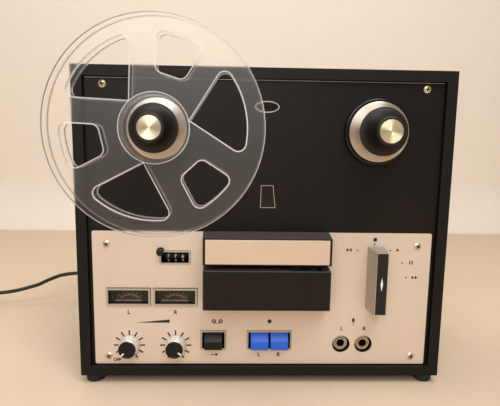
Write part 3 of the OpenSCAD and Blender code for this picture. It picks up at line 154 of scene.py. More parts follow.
@dataclass(frozen=True)
class Finish:
    """A surface named for its material and how it was made.

    Attributes:
        name: Material and process.
        dark: Colour in the low spots of the grain.
        light: Colour on the high spots of the grain.
        roughness: Middle roughness.
        grain: Kind of structure.
        grain_mm: Size of one grain, or spacing of strokes and rings.
        depth_mm: Height of the grain as bump.
        spread: How far the roughness varies either way.
        metallic: 1 for bare metal.
        anisotropic: Stretch of the highlight across brushing.
        coat: Clear film over the colour.
        coat_roughness: How far that film scatters the light.
        transmission: Share of light that passes through.
        ior: Index of refraction.
        shine: Strength of the mirror reflection; 0.5 is a plain moulding.
        about: Deck point that turning rings run round.
    """

    name: str
    dark: str
    light: str
    roughness: float
    grain: Grain
    grain_mm: float
    depth_mm: float = 0.0
    spread: float = 0.05
    metallic: float = 0.0
    anisotropic: float = 0.0
    coat: float = 0.0
    coat_roughness: float = 0.03
    transmission: float = 0.0
    ior: float = 1.5
    shine: float = 0.5
    about: Flat = (0.0, 0.0)

    def pattern(self, tree: bpy.types.NodeTree) -> bpy.types.NodeSocket:
        """Grain of the surface as a value from 0 to 1.

        Args:
            tree: The material's tree.

        Returns:
            Output socket of the pattern.
        """
        place = add(tree, "ShaderNodeTexCoord").outputs["Object"]
        per_grain = 1 / (self.grain_mm * MM)
        if self.grain is Grain.CELLS:
            cells = add(tree, "ShaderNodeTexVoronoi", {"Vector": place, "Scale": per_grain})
            return cells.outputs["Distance"]
        if self.grain is Grain.RINGS:
            axis = DECK.matrix() @ Vector((*self.about, 0.0))
            centred = add(tree, "ShaderNodeMapping", {"Vector": place, "Location": -axis}).outputs[0]
            # A wave of scale 1 has 20 / tau rings to the metre
            waves = {"Vector": centred, "Scale": math.tau / 20 * per_grain, "Distortion": 0.6, "Detail": 1.0}
            rings = add(tree, "ShaderNodeTexWave", waves, wave_type="RINGS", rings_direction="Y")
            return rings.outputs["Fac"]
        stretch = {Grain.STROKES: 0.012, Grain.FIBRES: 0.2}.get(self.grain, 1.0)
        lengths = Vector((stretch, 1.0, 1.0)) * per_grain
        scaled = add(tree, "ShaderNodeMapping", {"Vector": place, "Scale": lengths}).outputs[0]
        return add(tree, "ShaderNodeTexNoise", {"Vector": scaled, "Scale": 1.0, "Detail": 3.0}).outputs["Fac"]

    def material(self) -> bpy.types.Material:
        """The finish as a Blender material, made once.

        Returns:
            The material; its grain is mixed with wide soft clouds.
        """
        found = bpy.data.materials.get(self.name)
        if found:
            return found
        made = bpy.data.materials.new(self.name)
        made.use_nodes = True
        tree = made.node_tree
        tree.nodes.clear()
        grain = self.pattern(tree)
        place = add(tree, "ShaderNodeTexCoord").outputs["Object"]
        clouds = add(tree, "ShaderNodeTexNoise", {"Vector": place, "Scale": CLOUDS_PER_M, "Detail": 2.0})
        soft = add(tree, "ShaderNodeMath", {0: clouds.outputs["Fac"], 1: 1 - GRAIN_SHARE},
                   operation="MULTIPLY")
        blend = add(tree, "ShaderNodeMath", {0: grain, 1: GRAIN_SHARE, 2: soft.outputs[0]},
                    operation="MULTIPLY_ADD")
        shades = {0: blend.outputs[0], 6: linear(self.dark), 7: linear(self.light)}
        colour = add(tree, "ShaderNodeMix", shades, data_type="RGBA")
        rough = add(tree, "ShaderNodeMapRange", {
            "Value": blend.outputs[0], "From Min": 0.2, "From Max": 0.8,
            "To Min": self.roughness - self.spread, "To Max": self.roughness + self.spread})
        shader = add(tree, "ShaderNodeBsdfPrincipled", {
            "Base Color": colour.outputs[2], "Roughness": rough.outputs[0], "Metallic": self.metallic,
            "Anisotropic": self.anisotropic, "Coat Weight": self.coat, "Coat Roughness": self.coat_roughness,
            "Transmission Weight": self.transmission, "IOR": self.ior, "Specular IOR Level": self.shine})
        if self.depth_mm:
            bump = add(tree, "ShaderNodeBump", {"Height": grain, "Distance": self.depth_mm * MM})
            tree.links.new(bump.outputs[0], shader.inputs["Normal"])
        if self.grain is Grain.RINGS and self.anisotropic:
            tangent = add(tree, "ShaderNodeTangent", direction_type="RADIAL", axis="Y")
            tree.links.new(tangent.outputs[0], shader.inputs["Tangent"])
            shader.inputs["Anisotropic Rotation"].default_value = 0.25
        add(tree, "ShaderNodeOutputMaterial", {"Surface": shader.outputs[0]})
        return made


SPINDLES = (Vector(DECK.middle("supply_spindle")[:2]), Vector(DECK.middle("takeup_spindle")[:2]))

# Embossed cloth with a dull sheen; the grain is drawn coarser than its real 0.5 mm so that it shows
VINYL = Finish("embossed vinyl leathercloth", "#090706", "#1a1512", 0.55, Grain.CELLS, 1.3, 0.1, 0.08,
               shine=0.22)
# Board edges where the cloth has rubbed a little lighter
RUBBED_VINYL = Finish("rubbed vinyl leathercloth", "#110e0c", "#29231f", 0.45, Grain.CELLS, 1.3, 0.06,
                      shine=0.35)
# Sprayed satin enamel, warm black, with a soft sheen and a faint orange peel
DECK_ENAMEL = Finish("satin sprayed enamel", "#0c0807", "#19120f", 0.46, Grain.SPECKS, 0.9, 0.02, 0.07,
                     shine=0.24)
# Warm anodised sheet; its strokes run across the panel, drawn coarser than the real 0.1 mm
CHAMPAGNE = Finish("brushed champagne anodised aluminium", "#d7c3b0", "#e7d8c9", 0.5, Grain.STROKES, 0.5,
                   0.008, 0.06, 0.4, 0.3)
# Lacquered sheet on the head cover, with plainer strokes than the panel
FACE_SHEET = Finish("brushed lacquered aluminium", "#d8c0aa", "#ecd9c6", 0.4, Grain.STROKES, 0.7, 0.01, 0.06,
                    0.6, 0.3)
# Bare cut edge of aluminium sheet, lighter than the sheet: partly its bare metal, partly a painted highlight
# where the light from above meets it
CUT_EDGE_HIGHLIGHT = Finish("bare aluminium edge with painted highlight", "#cfc6ba", "#f4ede3", 0.3, Grain.SPECKS, 1.0, 0.0, 0.05, 0.7)
# Drawn lever cap with long strokes and a grey sheen
LEVER_METAL = Finish("brushed drawn aluminium", "#968d82", "#cdc5ba", 0.4, Grain.STROKES, 0.5, 0.01, 0.06,
                     0.6, 0.3)
# Satin plastic of the head covers
COVER_PLASTIC = Finish("moulded satin black polystyrene", "#0d0a08", "#1b1411", 0.5, Grain.SPECKS, 0.7,
                       0.012, 0.06, shine=0.25)
# The covers' edges, worn lighter by hands and painted lighter still as a highlight
WORN_HIGHLIGHT_PLASTIC = Finish("worn black polystyrene with painted edge highlight", "#211c18", "#3b332c", 0.42, Grain.SPECKS, 0.7, 0.01,
                      shine=0.3)
# The covers' tops, painted lighter than the fronts to stand for the light from above
PAINTED_TOP_LIGHT_PLASTIC = Finish("black polystyrene with painted top light", "#2e2722", "#4a413a", 0.7, Grain.FIBRES, 2.5, 0.0, 0.06)
# Polished mouldings that mirror the room
GLOSS_PLASTIC = Finish("polished black polystyrene", "#080706", "#14110f", 0.2, Grain.SPECKS, 1.2, 0.004,
                       0.04, shine=0.4)
# Reel caps: moulded with a fine matt skin
CAP_PLASTIC = Finish("moulded matt black phenolic", "#110d0b", "#231c18", 0.52, Grain.SPECKS, 0.8, 0.012,
                     0.06, shine=0.35)
# Bright trim: vacuum plated rim of the windows
TRIM = Finish("plated bright trim", "#a99e92", "#cdc2b5", 0.34, Grain.SPECKS, 1.5, 0.0, 0.05, 0.6)
# Knob skirts: satin plated, nearly white
KNOB_SKIRT = Finish("satin plated knob skirt", "#d6cfc6", "#f6f1ea", 0.36, Grain.SPECKS, 1.0, 0.004, 0.05,
                    0.5)
# Deep blue keys with a polished front
BLUE_KEY = Finish("polished blue polystyrene", "#1c4dba", "#3672e4", 0.38, Grain.SPECKS, 2.0, 0.004, 0.04,
                  shine=0.3)
# The same moulding in black, for the input key and the knobs' faces
BLACK_KEY = Finish("polished black key moulding", "#0c0908", "#1a1512", 0.38, Grain.SPECKS, 2.0, 0.004, 0.04,
                   shine=0.26)
# Clear styrene: see-through, with a faint haze that greys what lies behind it
CLEAR_REEL = Finish("clear moulded polystyrene", "#fffdfa", "#ffffff", 0.3, Grain.SPECKS, 6.0, 0.0, 0.02,
                    coat=0.3, coat_roughness=0.55, transmission=1.0, ior=1.16)
# Thick lips of the same styrene, painted whitish and less clear as a highlight for the light trapped in the
# edge
CLEAR_LIP = Finish("thick clear polystyrene edge with painted highlight", "#f4f0ea", "#ffffff", 0.14, Grain.SPECKS, 3.0, 0.0, 0.05,
                   transmission=0.66, ior=1.08)
# The same edges on the rear flange, with their painted highlight made fainter for the sheet in front of them
FAINT_LIP = Finish("thick clear polystyrene rear edge", "#f4f0ea", "#ffffff", 0.1, Grain.SPECKS, 3.0, 0.0,
                   0.05, transmission=0.86, ior=1.08)
# Clean window of a meter, which hardly shows but for a soft gleam
CLEAR_LENS = Finish("clear acrylic window", "#f8f8f6", "#ffffff", 0.02, Grain.SPECKS, 8.0, 0.0, 0.02,
                    transmission=1.0, ior=1.12)
# Thin bright plate that has worn pale on the screw heads
SCREW_PLATE = Finish("worn brassed steel", "#cbb68e", "#f6e8c8", 0.32, Grain.SPECKS, 0.8, 0.01, 0.08, 0.7)
# Dark fill in the screws' crosses: painted shade of their recesses
RECESS_SHADE = Finish("painted shade in a screw recess", "#1c1510", "#33281f", 0.7, Grain.SPECKS, 0.5)
# Warm bright plate of the jacks
NICKEL = Finish("nickel plated brass", "#b3a284", "#e6d6ba", 0.24, Grain.SPECKS, 1.0, 0.0, 0.06, 0.9)
# Yellow blades of the plug, with a soft mirror
BRASS = Finish("pressed brass", "#a8843c", "#d8b868", 0.28, Grain.SPECKS, 1.2, 0.0, 0.06, 1.0)
# Dull grey black of feet, belt and roller
RUBBER = Finish("moulded black rubber", "#0e0e0e", "#1f1e1d", 0.75, Grain.SPECKS, 0.6, 0.02, 0.06)
# Smooth black jacket with a dull gleam along the lead
LEAD_JACKET = Finish("extruded black vinyl jacket", "#080706", "#141210", 0.5, Grain.SPECKS, 1.2, 0.01, 0.06)
# Brown board with short matted fibres
HARDBOARD = Finish("pressed dark hardboard", "#2a211b", "#4a3b30", 0.7, Grain.FIBRES, 0.8, 0.03, 0.06)
# Flat, slightly uneven print on the panel
BLACK_INK = Finish("screen printed black ink", "#120f0d", "#1e1a17", 0.55, Grain.SPECKS, 0.3)
# Clear white print on drums, pointers and the lever
WHITE_INK = Finish("screen printed white ink", "#dedad2", "#f5f2ec", 0.5, Grain.SPECKS, 0.3)
# White print of the dials, faded under their windows
FADED_INK = Finish("faded white dial ink", "#8d8479", "#b3aa9e", 0.6, Grain.SPECKS, 0.3)
# Dull red end of the scale
RED_INK = Finish("screen printed red ink", "#7d2a20", "#983829", 0.5, Grain.SPECKS, 0.3)
# Smoke brown card behind a meter's window
DIAL_CARD = Finish("printed dial card", "#2a221d", "#3c322c", 0.6, Grain.FIBRES, 0.3)
# Pale band along the foot of a dial
BEIGE_INK = Finish("printed beige band", "#7d6f61", "#9c8d7c", 0.6, Grain.FIBRES, 0.3)
# Dark red needle
RED_NEEDLE = Finish("red lacquered needle", "#6e2a1e", "#8e3a2a", 0.4, Grain.SPECKS, 0.5)
# Grey plate with the cloudy spangle of zinc
ZINC = Finish("zinc plated steel", "#85868a", "#b7b6b0", 0.35, Grain.SPECKS, 4.0, 0.0, 0.1, 1.0)
# Bright steel with fine grinding strokes
GROUND_STEEL = Finish("ground steel", "#9a9994", "#c9c8c2", 0.25, Grain.STROKES, 0.3, 0.0, 0.06, 1.0)
# Open brown metal of oil bearings and the pulley
BRONZE = Finish("sintered bronze", "#7d5c2a", "#b48a48", 0.42, Grain.SPECKS, 0.4, 0.01, 0.08, 1.0)
# Even grey paint with a slight orange peel
MOTOR_ENAMEL = Finish("grey stove enamel", "#4f5153", "#6e7072", 0.4, Grain.SPECKS, 0.6, 0.02)
# Stacked sheets that show as fine dark lines
IRON = Finish("varnished iron laminations", "#2b2623", "#5a524a", 0.5, Grain.STROKES, 0.6, 0.03, 0.08, 0.4)
# Brown fibre board with a dull face
BOARD = Finish("phenolic circuit board", "#5d4220", "#8a6834", 0.5, Grain.FIBRES, 0.8, 0.0, 0.06)


def turned(name: str, about: Vector, dark: str, light: str) -> Finish:
    """A lathe turned metal face with rings and a fan of light round one spindle.

    Args:
        name: Material and process.
        about: Deck point of the spindle.
        dark: Colour in the grooves.
        light: Colour on the ridges.

    Returns:
        The finish; its rings are drawn coarser than the real 0.15 mm so that they show.
    """
    return Finish(name, dark, light, 0.42, Grain.RINGS, 0.7, 0.005, 0.05, 0.9, 0.9, about=(about.x, about.y))


class Form:
    """A mesh drawn in deck millimetres, in one or more finishes."""

    def __init__(self, name: str, *finishes: Finish) -> None:
        """Start an empty mesh.

        Args:
            name: Name of the piece that it will be.
            *finishes: Its finishes, by number.
        """
        self.name = name
        self.finishes = finishes
        self.mesh = bmesh.new()

    def face(self, corners: Sequence[bmesh.types.BMVert]) -> None:
        """Add a face without its repeated corners.

        Args:
            corners: Corners in order.
        """
        kept = list(dict.fromkeys(corners))
        if len(kept) > 2:
            self.mesh.faces.new(kept)

    def lathe(self, profile: Sequence[Flat], at: Sequence[float] = (0, 0), steps: int = 72,
              ring: bool = False) -> "Form":
        """Turn a profile about an axis along Z.

        Args:
            profile: Points of radius and height; it starts and ends on the axis unless it is a ring's.
            at: Deck point of the axis.
            steps: Corners of the round.
            ring: Whether the profile closes on itself.

        Returns:
            The form.
        """
        angles = [math.tau * k / steps for k in range(steps)]
        rings = []
        for r, z in profile:
            turns = angles if r > 1e-6 else angles[:1]
            rings.append([self.mesh.verts.new((at[0] + r * math.cos(a), at[1] + r * math.sin(a), z))
                          for a in turns])
        joined = rings + rings[:1] if ring else rings
        for low, high in zip(joined, joined[1:]):
            for k in range(steps):
                n = (k + 1) % steps
                self.face((low[k % len(low)], low[n % len(low)], high[n % len(high)], high[k % len(high)]))
        return self

    def prism(self, outline: Sequence[Flat], z0: float, z1: float,
              holes: Sequence[Sequence[Flat]] = ()) -> "Form":
        """Give a flat outline thickness.

        Args:
            outline: Corners in deck millimetres.
            z0: Lower height.
            z1: Upper height.
            holes: Outlines that are left open, clockwise.

        Returns:
            The form.
        """
        loops = [outline, *holes]
        lows = [[self.mesh.verts.new((x, y, z0)) for x, y in loop] for loop in loops]
        highs = [[self.mesh.verts.new((x, y, z1)) for x, y in loop] for loop in loops]
        for low, high in zip(lows, highs):
            for k in range(len(low)):
                n = (k + 1) % len(low)
                self.face((low[k], low[n], high[n], high[k]))
        for ends in (lows, highs):
            corners = [v for loop in ends for v in loop]
            for three in tessellate_polygon([[v.co for v in loop] for loop in ends]):
                self.face([corners[i] for i in three])
        return self

    def words(self, body: str, size: float, at: Flat, z0: float, z1: float, bold: float = 0.0) -> "Form":
        """Set letters or figures as thin raised print.

        Args:
            body: The characters.
            size: Height of the type.
            at: Middle of the word.
            z0: Lower height.
            z1: Upper height.
            bold: How far the strokes are widened on each side.

        Returns:
            The form.
        """
        curve = bpy.data.curves.new("words", "FONT")
        curve.body = body
        curve.size = size
        curve.align_x = "CENTER"
        curve.align_y = "CENTER"
        curve.resolution_u = 4
        curve.extrude = (z1 - z0) / 2
        curve.offset = bold
        holder = bpy.data.objects.new("words", curve)
        bpy.context.scene.collection.objects.link(holder)
        graph = bpy.context.evaluated_depsgraph_get()
        flat = bpy.data.meshes.new_from_object(holder.evaluated_get(graph))
        flat.transform(Matrix.Translation((*at, (z0 + z1) / 2)))
        self.take(flat)
        bpy.data.objects.remove(holder)
        bpy.data.curves.remove(curve)
        return self

    def take(self, mesh: bpy.types.Mesh) -> None:
        """Add a mesh that is in deck millimetres, then drop it."""
        self.mesh.from_mesh(mesh)
        bpy.data.meshes.remove(mesh)

    def node(self, name: str) -> "Form":
        """Add a merged copy of a CAD node.

        Args:
            name: Name of the node.

        Returns:
            The form.
        """
        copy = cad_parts[name].data.copy()
        copy.transform(DECK.matrix().inverted())
        copy.materials.clear()
        self.take(copy)
        for face in self.mesh.faces:
            face.material_index = 0
        bmesh.ops.remove_doubles(self.mesh, verts=self.mesh.verts, dist=1e-3)
        bmesh.ops.dissolve_limit(self.mesh, angle_limit=math.radians(0.5), verts=self.mesh.verts,
                                 edges=self.mesh.edges)
        return self

    def plain(self) -> bpy.types.Mesh:
        """Finish the form as a mesh.

        Returns:
            A mesh in deck millimetres, merged and with faces outwards.
        """
        bmesh.ops.remove_doubles(self.mesh, verts=self.mesh.verts, dist=1e-4)
        bmesh.ops.recalc_face_normals(self.mesh, faces=self.mesh.faces)
        mesh = bpy.data.meshes.new(self.name)
        self.mesh.to_mesh(mesh)
        self.mesh.free()
        for finish in self.finishes:
            mesh.materials.append(finish.material())
        return mesh

    def piece(self, body: str, slot: str, replaces: Iterable[str] = (), smooth: float = 30.0,
              bevel: float = 0.0, worn: bool = False) -> bpy.types.Object:
        """Turn the form into a finished piece.

        Args:
            body: CAD body that it rides on.
            slot: Material slot of the record; not used.
            replaces: CAD nodes that it stands for.
            smooth: Edges flatter than this angle are shaded round.
            bevel: Width of rounded edges in millimetres.
            worn: Whether rounded edges take the last finish.

        Returns:
            The piece's object.
        """
        made = place(self.name, self.plain(), smooth)
        if bevel:
            edge = made.modifiers.new("rounded edges", "BEVEL")
            edge.width = bevel * MM
            edge.segments = 3
            edge.limit_method = "ANGLE"
            edge.angle_limit = math.radians(35)
            edge.harden_normals = True
            edge.material = len(self.finishes) - 1 if worn else -1
            settle(made)
        return dress(made, body, replaces)


def place(name: str, mesh: bpy.types.Mesh, smooth: float) -> bpy.types.Object:
    """Stand a mesh of deck millimetres up as an object at the origin.

    Args:
        name: Name of the object.
        mesh: The mesh.
        smooth: Edges flatter than this angle are shaded round.

    Returns:
        The object.
    """
    mesh.transform(DECK.matrix())
    mesh.shade_smooth()
    mesh.set_sharp_from_angle(angle=math.radians(smooth))
    made = bpy.data.objects.new(name, mesh)
    bpy.context.scene.collection.objects.link(made)
    return made


def settle(made: bpy.types.Object) -> None:
    """Turn an object's modifiers into plain mesh.

    Args:
        made: The object.
    """
    graph = bpy.context.evaluated_depsgraph_get()
    mesh = bpy.data.meshes.new_from_object(made.evaluated_get(graph))
    made.modifiers.clear()
    made.data = mesh


def dress(made: bpy.types.Object, body: str, replaces: Iterable[str] = ()) -> bpy.types.Object:
    """Let a piece ride on its body and stand for its nodes.

    Args:
        made: The piece.
        body: CAD body that it rides on.
        replaces: CAD nodes that it stands for.

    Returns:
        The piece.
    """
    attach(made, body)
    stood_for = list(replaces)
    if stood_for:
        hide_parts(*stood_for)
    LOG.info("%s: %d faces on %s", made.name, len(made.data.polygons), body)
    return made


def paint(finish: Finish, *nodes: str) -> None:
    """Give CAD nodes whose shape is right a finish.

    Args:
        finish: The finish.
        *nodes: Names of the nodes.
    """
    for name in nodes:
        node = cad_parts[name]
        node.data.materials.clear()
        node.data.materials.append(finish.material())
        LOG.info("%s: painted %s", name, finish.name)


def see_through(piece: bpy.types.Object) -> None:
    """Let light pass a thin clear piece, which Cycles would give a full shadow and bright sparks.

    Args:
        piece: The clear piece.
    """
    piece.visible_shadow = False
    piece.visible_diffuse = False
    piece.visible_glossy = False


def rectangle(w: float, h: float, at: Sequence[float] = (0, 0), r: float = 0.0, steps: int = 5) -> list[Flat]:
    """Corners of a rectangle with rounded corners.

    Args:
        w: Width.
        h: Height.
        at: Middle.
        r: Corner radius.
        steps: Points on each corner.

    Returns:
        The outline, counterclockwise.
    """
    if r <= 0:
        return [(at[0] + x * w / 2, at[1] + y * h / 2) for x, y in ((-1, -1), (1, -1), (1, 1), (-1, 1))]
    corners = ((1, 1, 0), (-1, 1, 90), (-1, -1, 180), (1, -1, 270))
    return [p for x, y, a in corners
            for p in arc((at[0] + x * (w / 2 - r), at[1] + y * (h / 2 - r)), r, a, a + 90, steps)]


def arc(middle: Sequence[float], r: float, start: float, end: float, steps: int) -> list[Flat]:
    """Points on an arc between two angles in degrees."""
    turns = [math.radians(start + (end - start) * i / steps) for i in range(steps + 1)]
    return [(middle[0] + r * math.cos(a), middle[1] + r * math.sin(a)) for a in turns]


def grown(outline: Sequence[Flat], by: float) -> list[Flat]:
    """An outline moved outwards.

    Args:
        outline: Corners, counterclockwise.
        by: Distance; a negative one moves it inwards.

    Returns:
        The moved corners.
    """
    found = []
    count = len(outline)
    for i, corner in enumerate(outline):
        here = Vector(corner)
        into = (here - Vector(outline[i - 1])).normalized()
        out = (Vector(outline[(i + 1) % count]) - here).normalized()
        sides = Vector((into.y, -into.x)), Vector((out.y, -out.x))
        lean = (sides[0] + sides[1]).normalized()
        moved = here + lean * by / max(0.4, lean.dot(sides[0]))
        found.append((moved.x, moved.y))
    return found


def distinct(outline: Iterable[Flat]) -> list[Flat]:
    """An outline without points that repeat the one before.

    Args:
        outline: Corners in order.

    Returns:
        The corners that differ.
    """
    found: list[Flat] = []
    for p in outline:
        if not found or math.dist(p, found[-1]) > 1e-4:
            found.append(p)
    return found


class Scatter:
    """One shape set at many places of the deck by Geometry Nodes."""

    TREE = "shape at each place"

    @classmethod
    def tree(cls) -> bpy.types.NodeTree:
        """The tree that sets the shape, made once.

        Returns:
            A tree with inputs for the places, the shape, its finish and a random turn.
        """
        found = bpy.data.node_groups.get(cls.TREE)
        if found:
            return found
        tree = bpy.data.node_groups.new(cls.TREE, "GeometryNodeTree")
        for name, kind in (("Places", "Geometry"), ("Shape", "Object"), ("Finish", "Material"),
                           ("Loose turn", "Float"), ("Seed", "Int")):
            tree.interface.new_socket(name, in_out="INPUT", socket_type=f"NodeSocket{kind}")
        tree.interface.new_socket("Pieces", in_out="OUTPUT", socket_type="NodeSocketGeometry")
        given = add(tree, "NodeGroupInput").outputs
        most = add(tree, "ShaderNodeCombineXYZ", {"Z": given["Loose turn"]})
        loose = add(tree, "FunctionNodeRandomValue", {1: most.outputs[0], "Seed": given["Seed"]},
                    data_type="FLOAT_VECTOR")
        turn = add(tree, "GeometryNodeInputNamedAttribute", {"Name": "turn"}, data_type="FLOAT")
        set_turn = add(tree, "ShaderNodeCombineXYZ", {"Z": turn.outputs["Attribute"]})
        total = add(tree, "ShaderNodeVectorMath", {0: set_turn.outputs[0], 1: loose.outputs[0]},
                    operation="ADD")
        facing = add(tree, "FunctionNodeEulerToRotation", {0: total.outputs[0]})
        shape = add(tree, "GeometryNodeObjectInfo", {"Object": given["Shape"]})
        copies = add(tree, "GeometryNodeInstanceOnPoints", {
            "Points": given["Places"], "Instance": shape.outputs["Geometry"], "Rotation": facing.outputs[0]})
        real = add(tree, "GeometryNodeRealizeInstances", {0: copies.outputs[0]})
        coated = add(tree, "GeometryNodeSetMaterial", {
            "Geometry": real.outputs[0], "Material": given["Finish"]})
        add(tree, "NodeGroupOutput", {0: coated.outputs[0]})
        return tree

    @classmethod
    def piece(cls, name: str, shape: Form, places: Sequence[Place], body: str, slot: str,
              replaces: Iterable[str] = (), loose: float = 0.0, seed: int = 1) -> bpy.types.Object:
        """Set a shape at its places and make that one piece.

        Args:
            name: Name of the piece.
            shape: The shape, drawn round the origin, in one finish.
            places: Deck X, Y and Z in millimetres and a turn about Z in degrees for each copy.
            body: CAD body that the piece rides on.
            slot: Material slot of the record; not used.
            replaces: CAD nodes that it stands for.
            loose: Largest random turn in degrees.
            seed: Seed of the random turn.

        Returns:
            The piece's object.
        """
        finish = shape.finishes[0].material()
        sample = bpy.data.objects.new(name + "_shape", shape.plain())
        spots = bpy.data.meshes.new(name + "_places")
        spots.from_pydata([p[:3] for p in places], [], [])
        turns = spots.attributes.new("turn", "FLOAT", "POINT")
        turns.data.foreach_set("value", [math.radians(p[3]) for p in places])
        holder = bpy.data.objects.new(name, spots)
        for made in (sample, holder):
            bpy.context.scene.collection.objects.link(made)
        setter = holder.modifiers.new("set", "NODES")
        setter.node_group = cls.tree()
        values = {"Shape": sample, "Finish": finish, "Loose turn": math.radians(loose), "Seed": seed}
        for item in setter.node_group.interface.items_tree:
            if item.in_out == "INPUT" and item.name in values:
                setter[item.identifier] = values[item.name]
        graph = bpy.context.evaluated_depsgraph_get()
        mesh = bpy.data.meshes.new_from_object(holder.evaluated_get(graph))
        bpy.data.objects.remove(holder)
        bpy.data.objects.remove(sample)
        return dress(place(name, mesh, 30.0), body, replaces)


# Warm white paper of the backdrop
STUDIO_PAPER = Finish("warm white studio paper", "#eadbca", "#f2e5d6", 0.9, Grain.SPECKS, 9.0)
# The floor is a shade darker than the wall, as it takes more of the light from above
STUDIO_FLOOR = Finish("pale beige studio floor", "#d3bb9f", "#dcc6ab", 0.9, Grain.SPECKS, 9.0)


@dataclass
class Studio:
    """Camera at the photo's angle, pale floor and wall, and soft light."""

    camera_at: Vector = Vector((-0.014957, -0.46523, 0.21925))
    forward: Vector = Vector((0.02894, 0.99031, -0.13585))
    up: Vector = Vector((-0.01106, 0.13622, 0.99062))
    lens_mm: float = 33.045
    sensor_mm: float = 36.0
    wall_y: float = 0.62
    sweep_r: float = 0.12
    reach: float = 4.0
    # Name, place and size in metres, and power in watts
    lamps: tuple[tuple[str, tuple[float, float, float], float, float], ...] = (
        ("key_light", (0.3, -0.75, 1.4), 0.6, 13.0),
        ("fill_light", (-0.3, -1.5, 1.05), 1.0, 15.0),
        ("wall_light", (-0.3, 0.1, 1.4), 0.9, 6.0))
    aim_at: Vector = Vector((0.0, 0.0, 0.15))
    surround: str = "#f6efe6"
    surround_strength: float = 0.24

    def build(self) -> None:
        """Set up camera, stage and lights."""
        self.set_camera()
        self.set_stage()
        self.set_lights()

    def set_camera(self) -> None:
        """Put the camera where the photo was taken from."""
        data = bpy.data.cameras.new("photo_camera")
        data.lens = self.lens_mm
        data.sensor_width = self.sensor_mm
        data.sensor_fit = "HORIZONTAL"
        data.clip_start = 0.01
        camera = bpy.data.objects.new("photo_camera", data)
        back = -self.forward.normalized()
        side = self.up.cross(back).normalized()
        over = back.cross(side)
        turn = Matrix((side, over, back)).transposed().to_4x4()
        camera.matrix_world = Matrix.Translation(self.camera_at) @ turn
        bpy.context.scene.collection.objects.link(camera)
        bpy.context.scene.camera = camera

    def set_stage(self) -> None:
        """Make a floor that sweeps up into a wall, both far wider than the view."""
        near = -self.reach
        curve = [(self.wall_y + self.sweep_r * math.sin(a), self.sweep_r * (1 - math.cos(a)))
                 for a in (math.pi / 2 * i / 12 for i in range(13))]
        profile = [(near, 0.0), *curve, (self.wall_y + self.sweep_r, self.reach)]
        verts = [(x, y, z) for y, z in profile for x in (-self.reach, self.reach)]
        faces = [(2 * i, 2 * i + 1, 2 * i + 3, 2 * i + 2) for i in range(len(profile) - 1)]
        mesh = bpy.data.meshes.new("studio_sweep")
        mesh.from_pydata(verts, [], faces)
        mesh.shade_smooth()
        for finish in (STUDIO_PAPER, STUDIO_FLOOR):
            mesh.materials.append(finish.material())
        mesh.polygons[0].material_index = 1
        sweep = bpy.data.objects.new("studio_sweep", mesh)
        bpy.context.scene.collection.objects.link(sweep)

    def set_lights(self) -> None:
        """Hang a large soft key light, a fill, a light on the wall and an even surround."""
        for name, at, size, power in self.lamps:
            data = bpy.data.lights.new(name, "AREA")
            data.size = size
            data.energy = power
            light = bpy.data.objects.new(name, data)
            light.location = at
            aim = self.aim_at - Vector(at)
            light.rotation_euler = aim.to_track_quat("-Z", "Y").to_euler()
            bpy.context.scene.collection.objects.link(light)
        world = bpy.data.worlds.new("soft surround")
        world.use_nodes = True
        surround = world.node_tree.nodes["Background"]
        surround.inputs["Color"].default_value = linear(self.surround)
        surround.inputs["Strength"].default_value = self.surround_strength
        bpy.context.scene.world = world


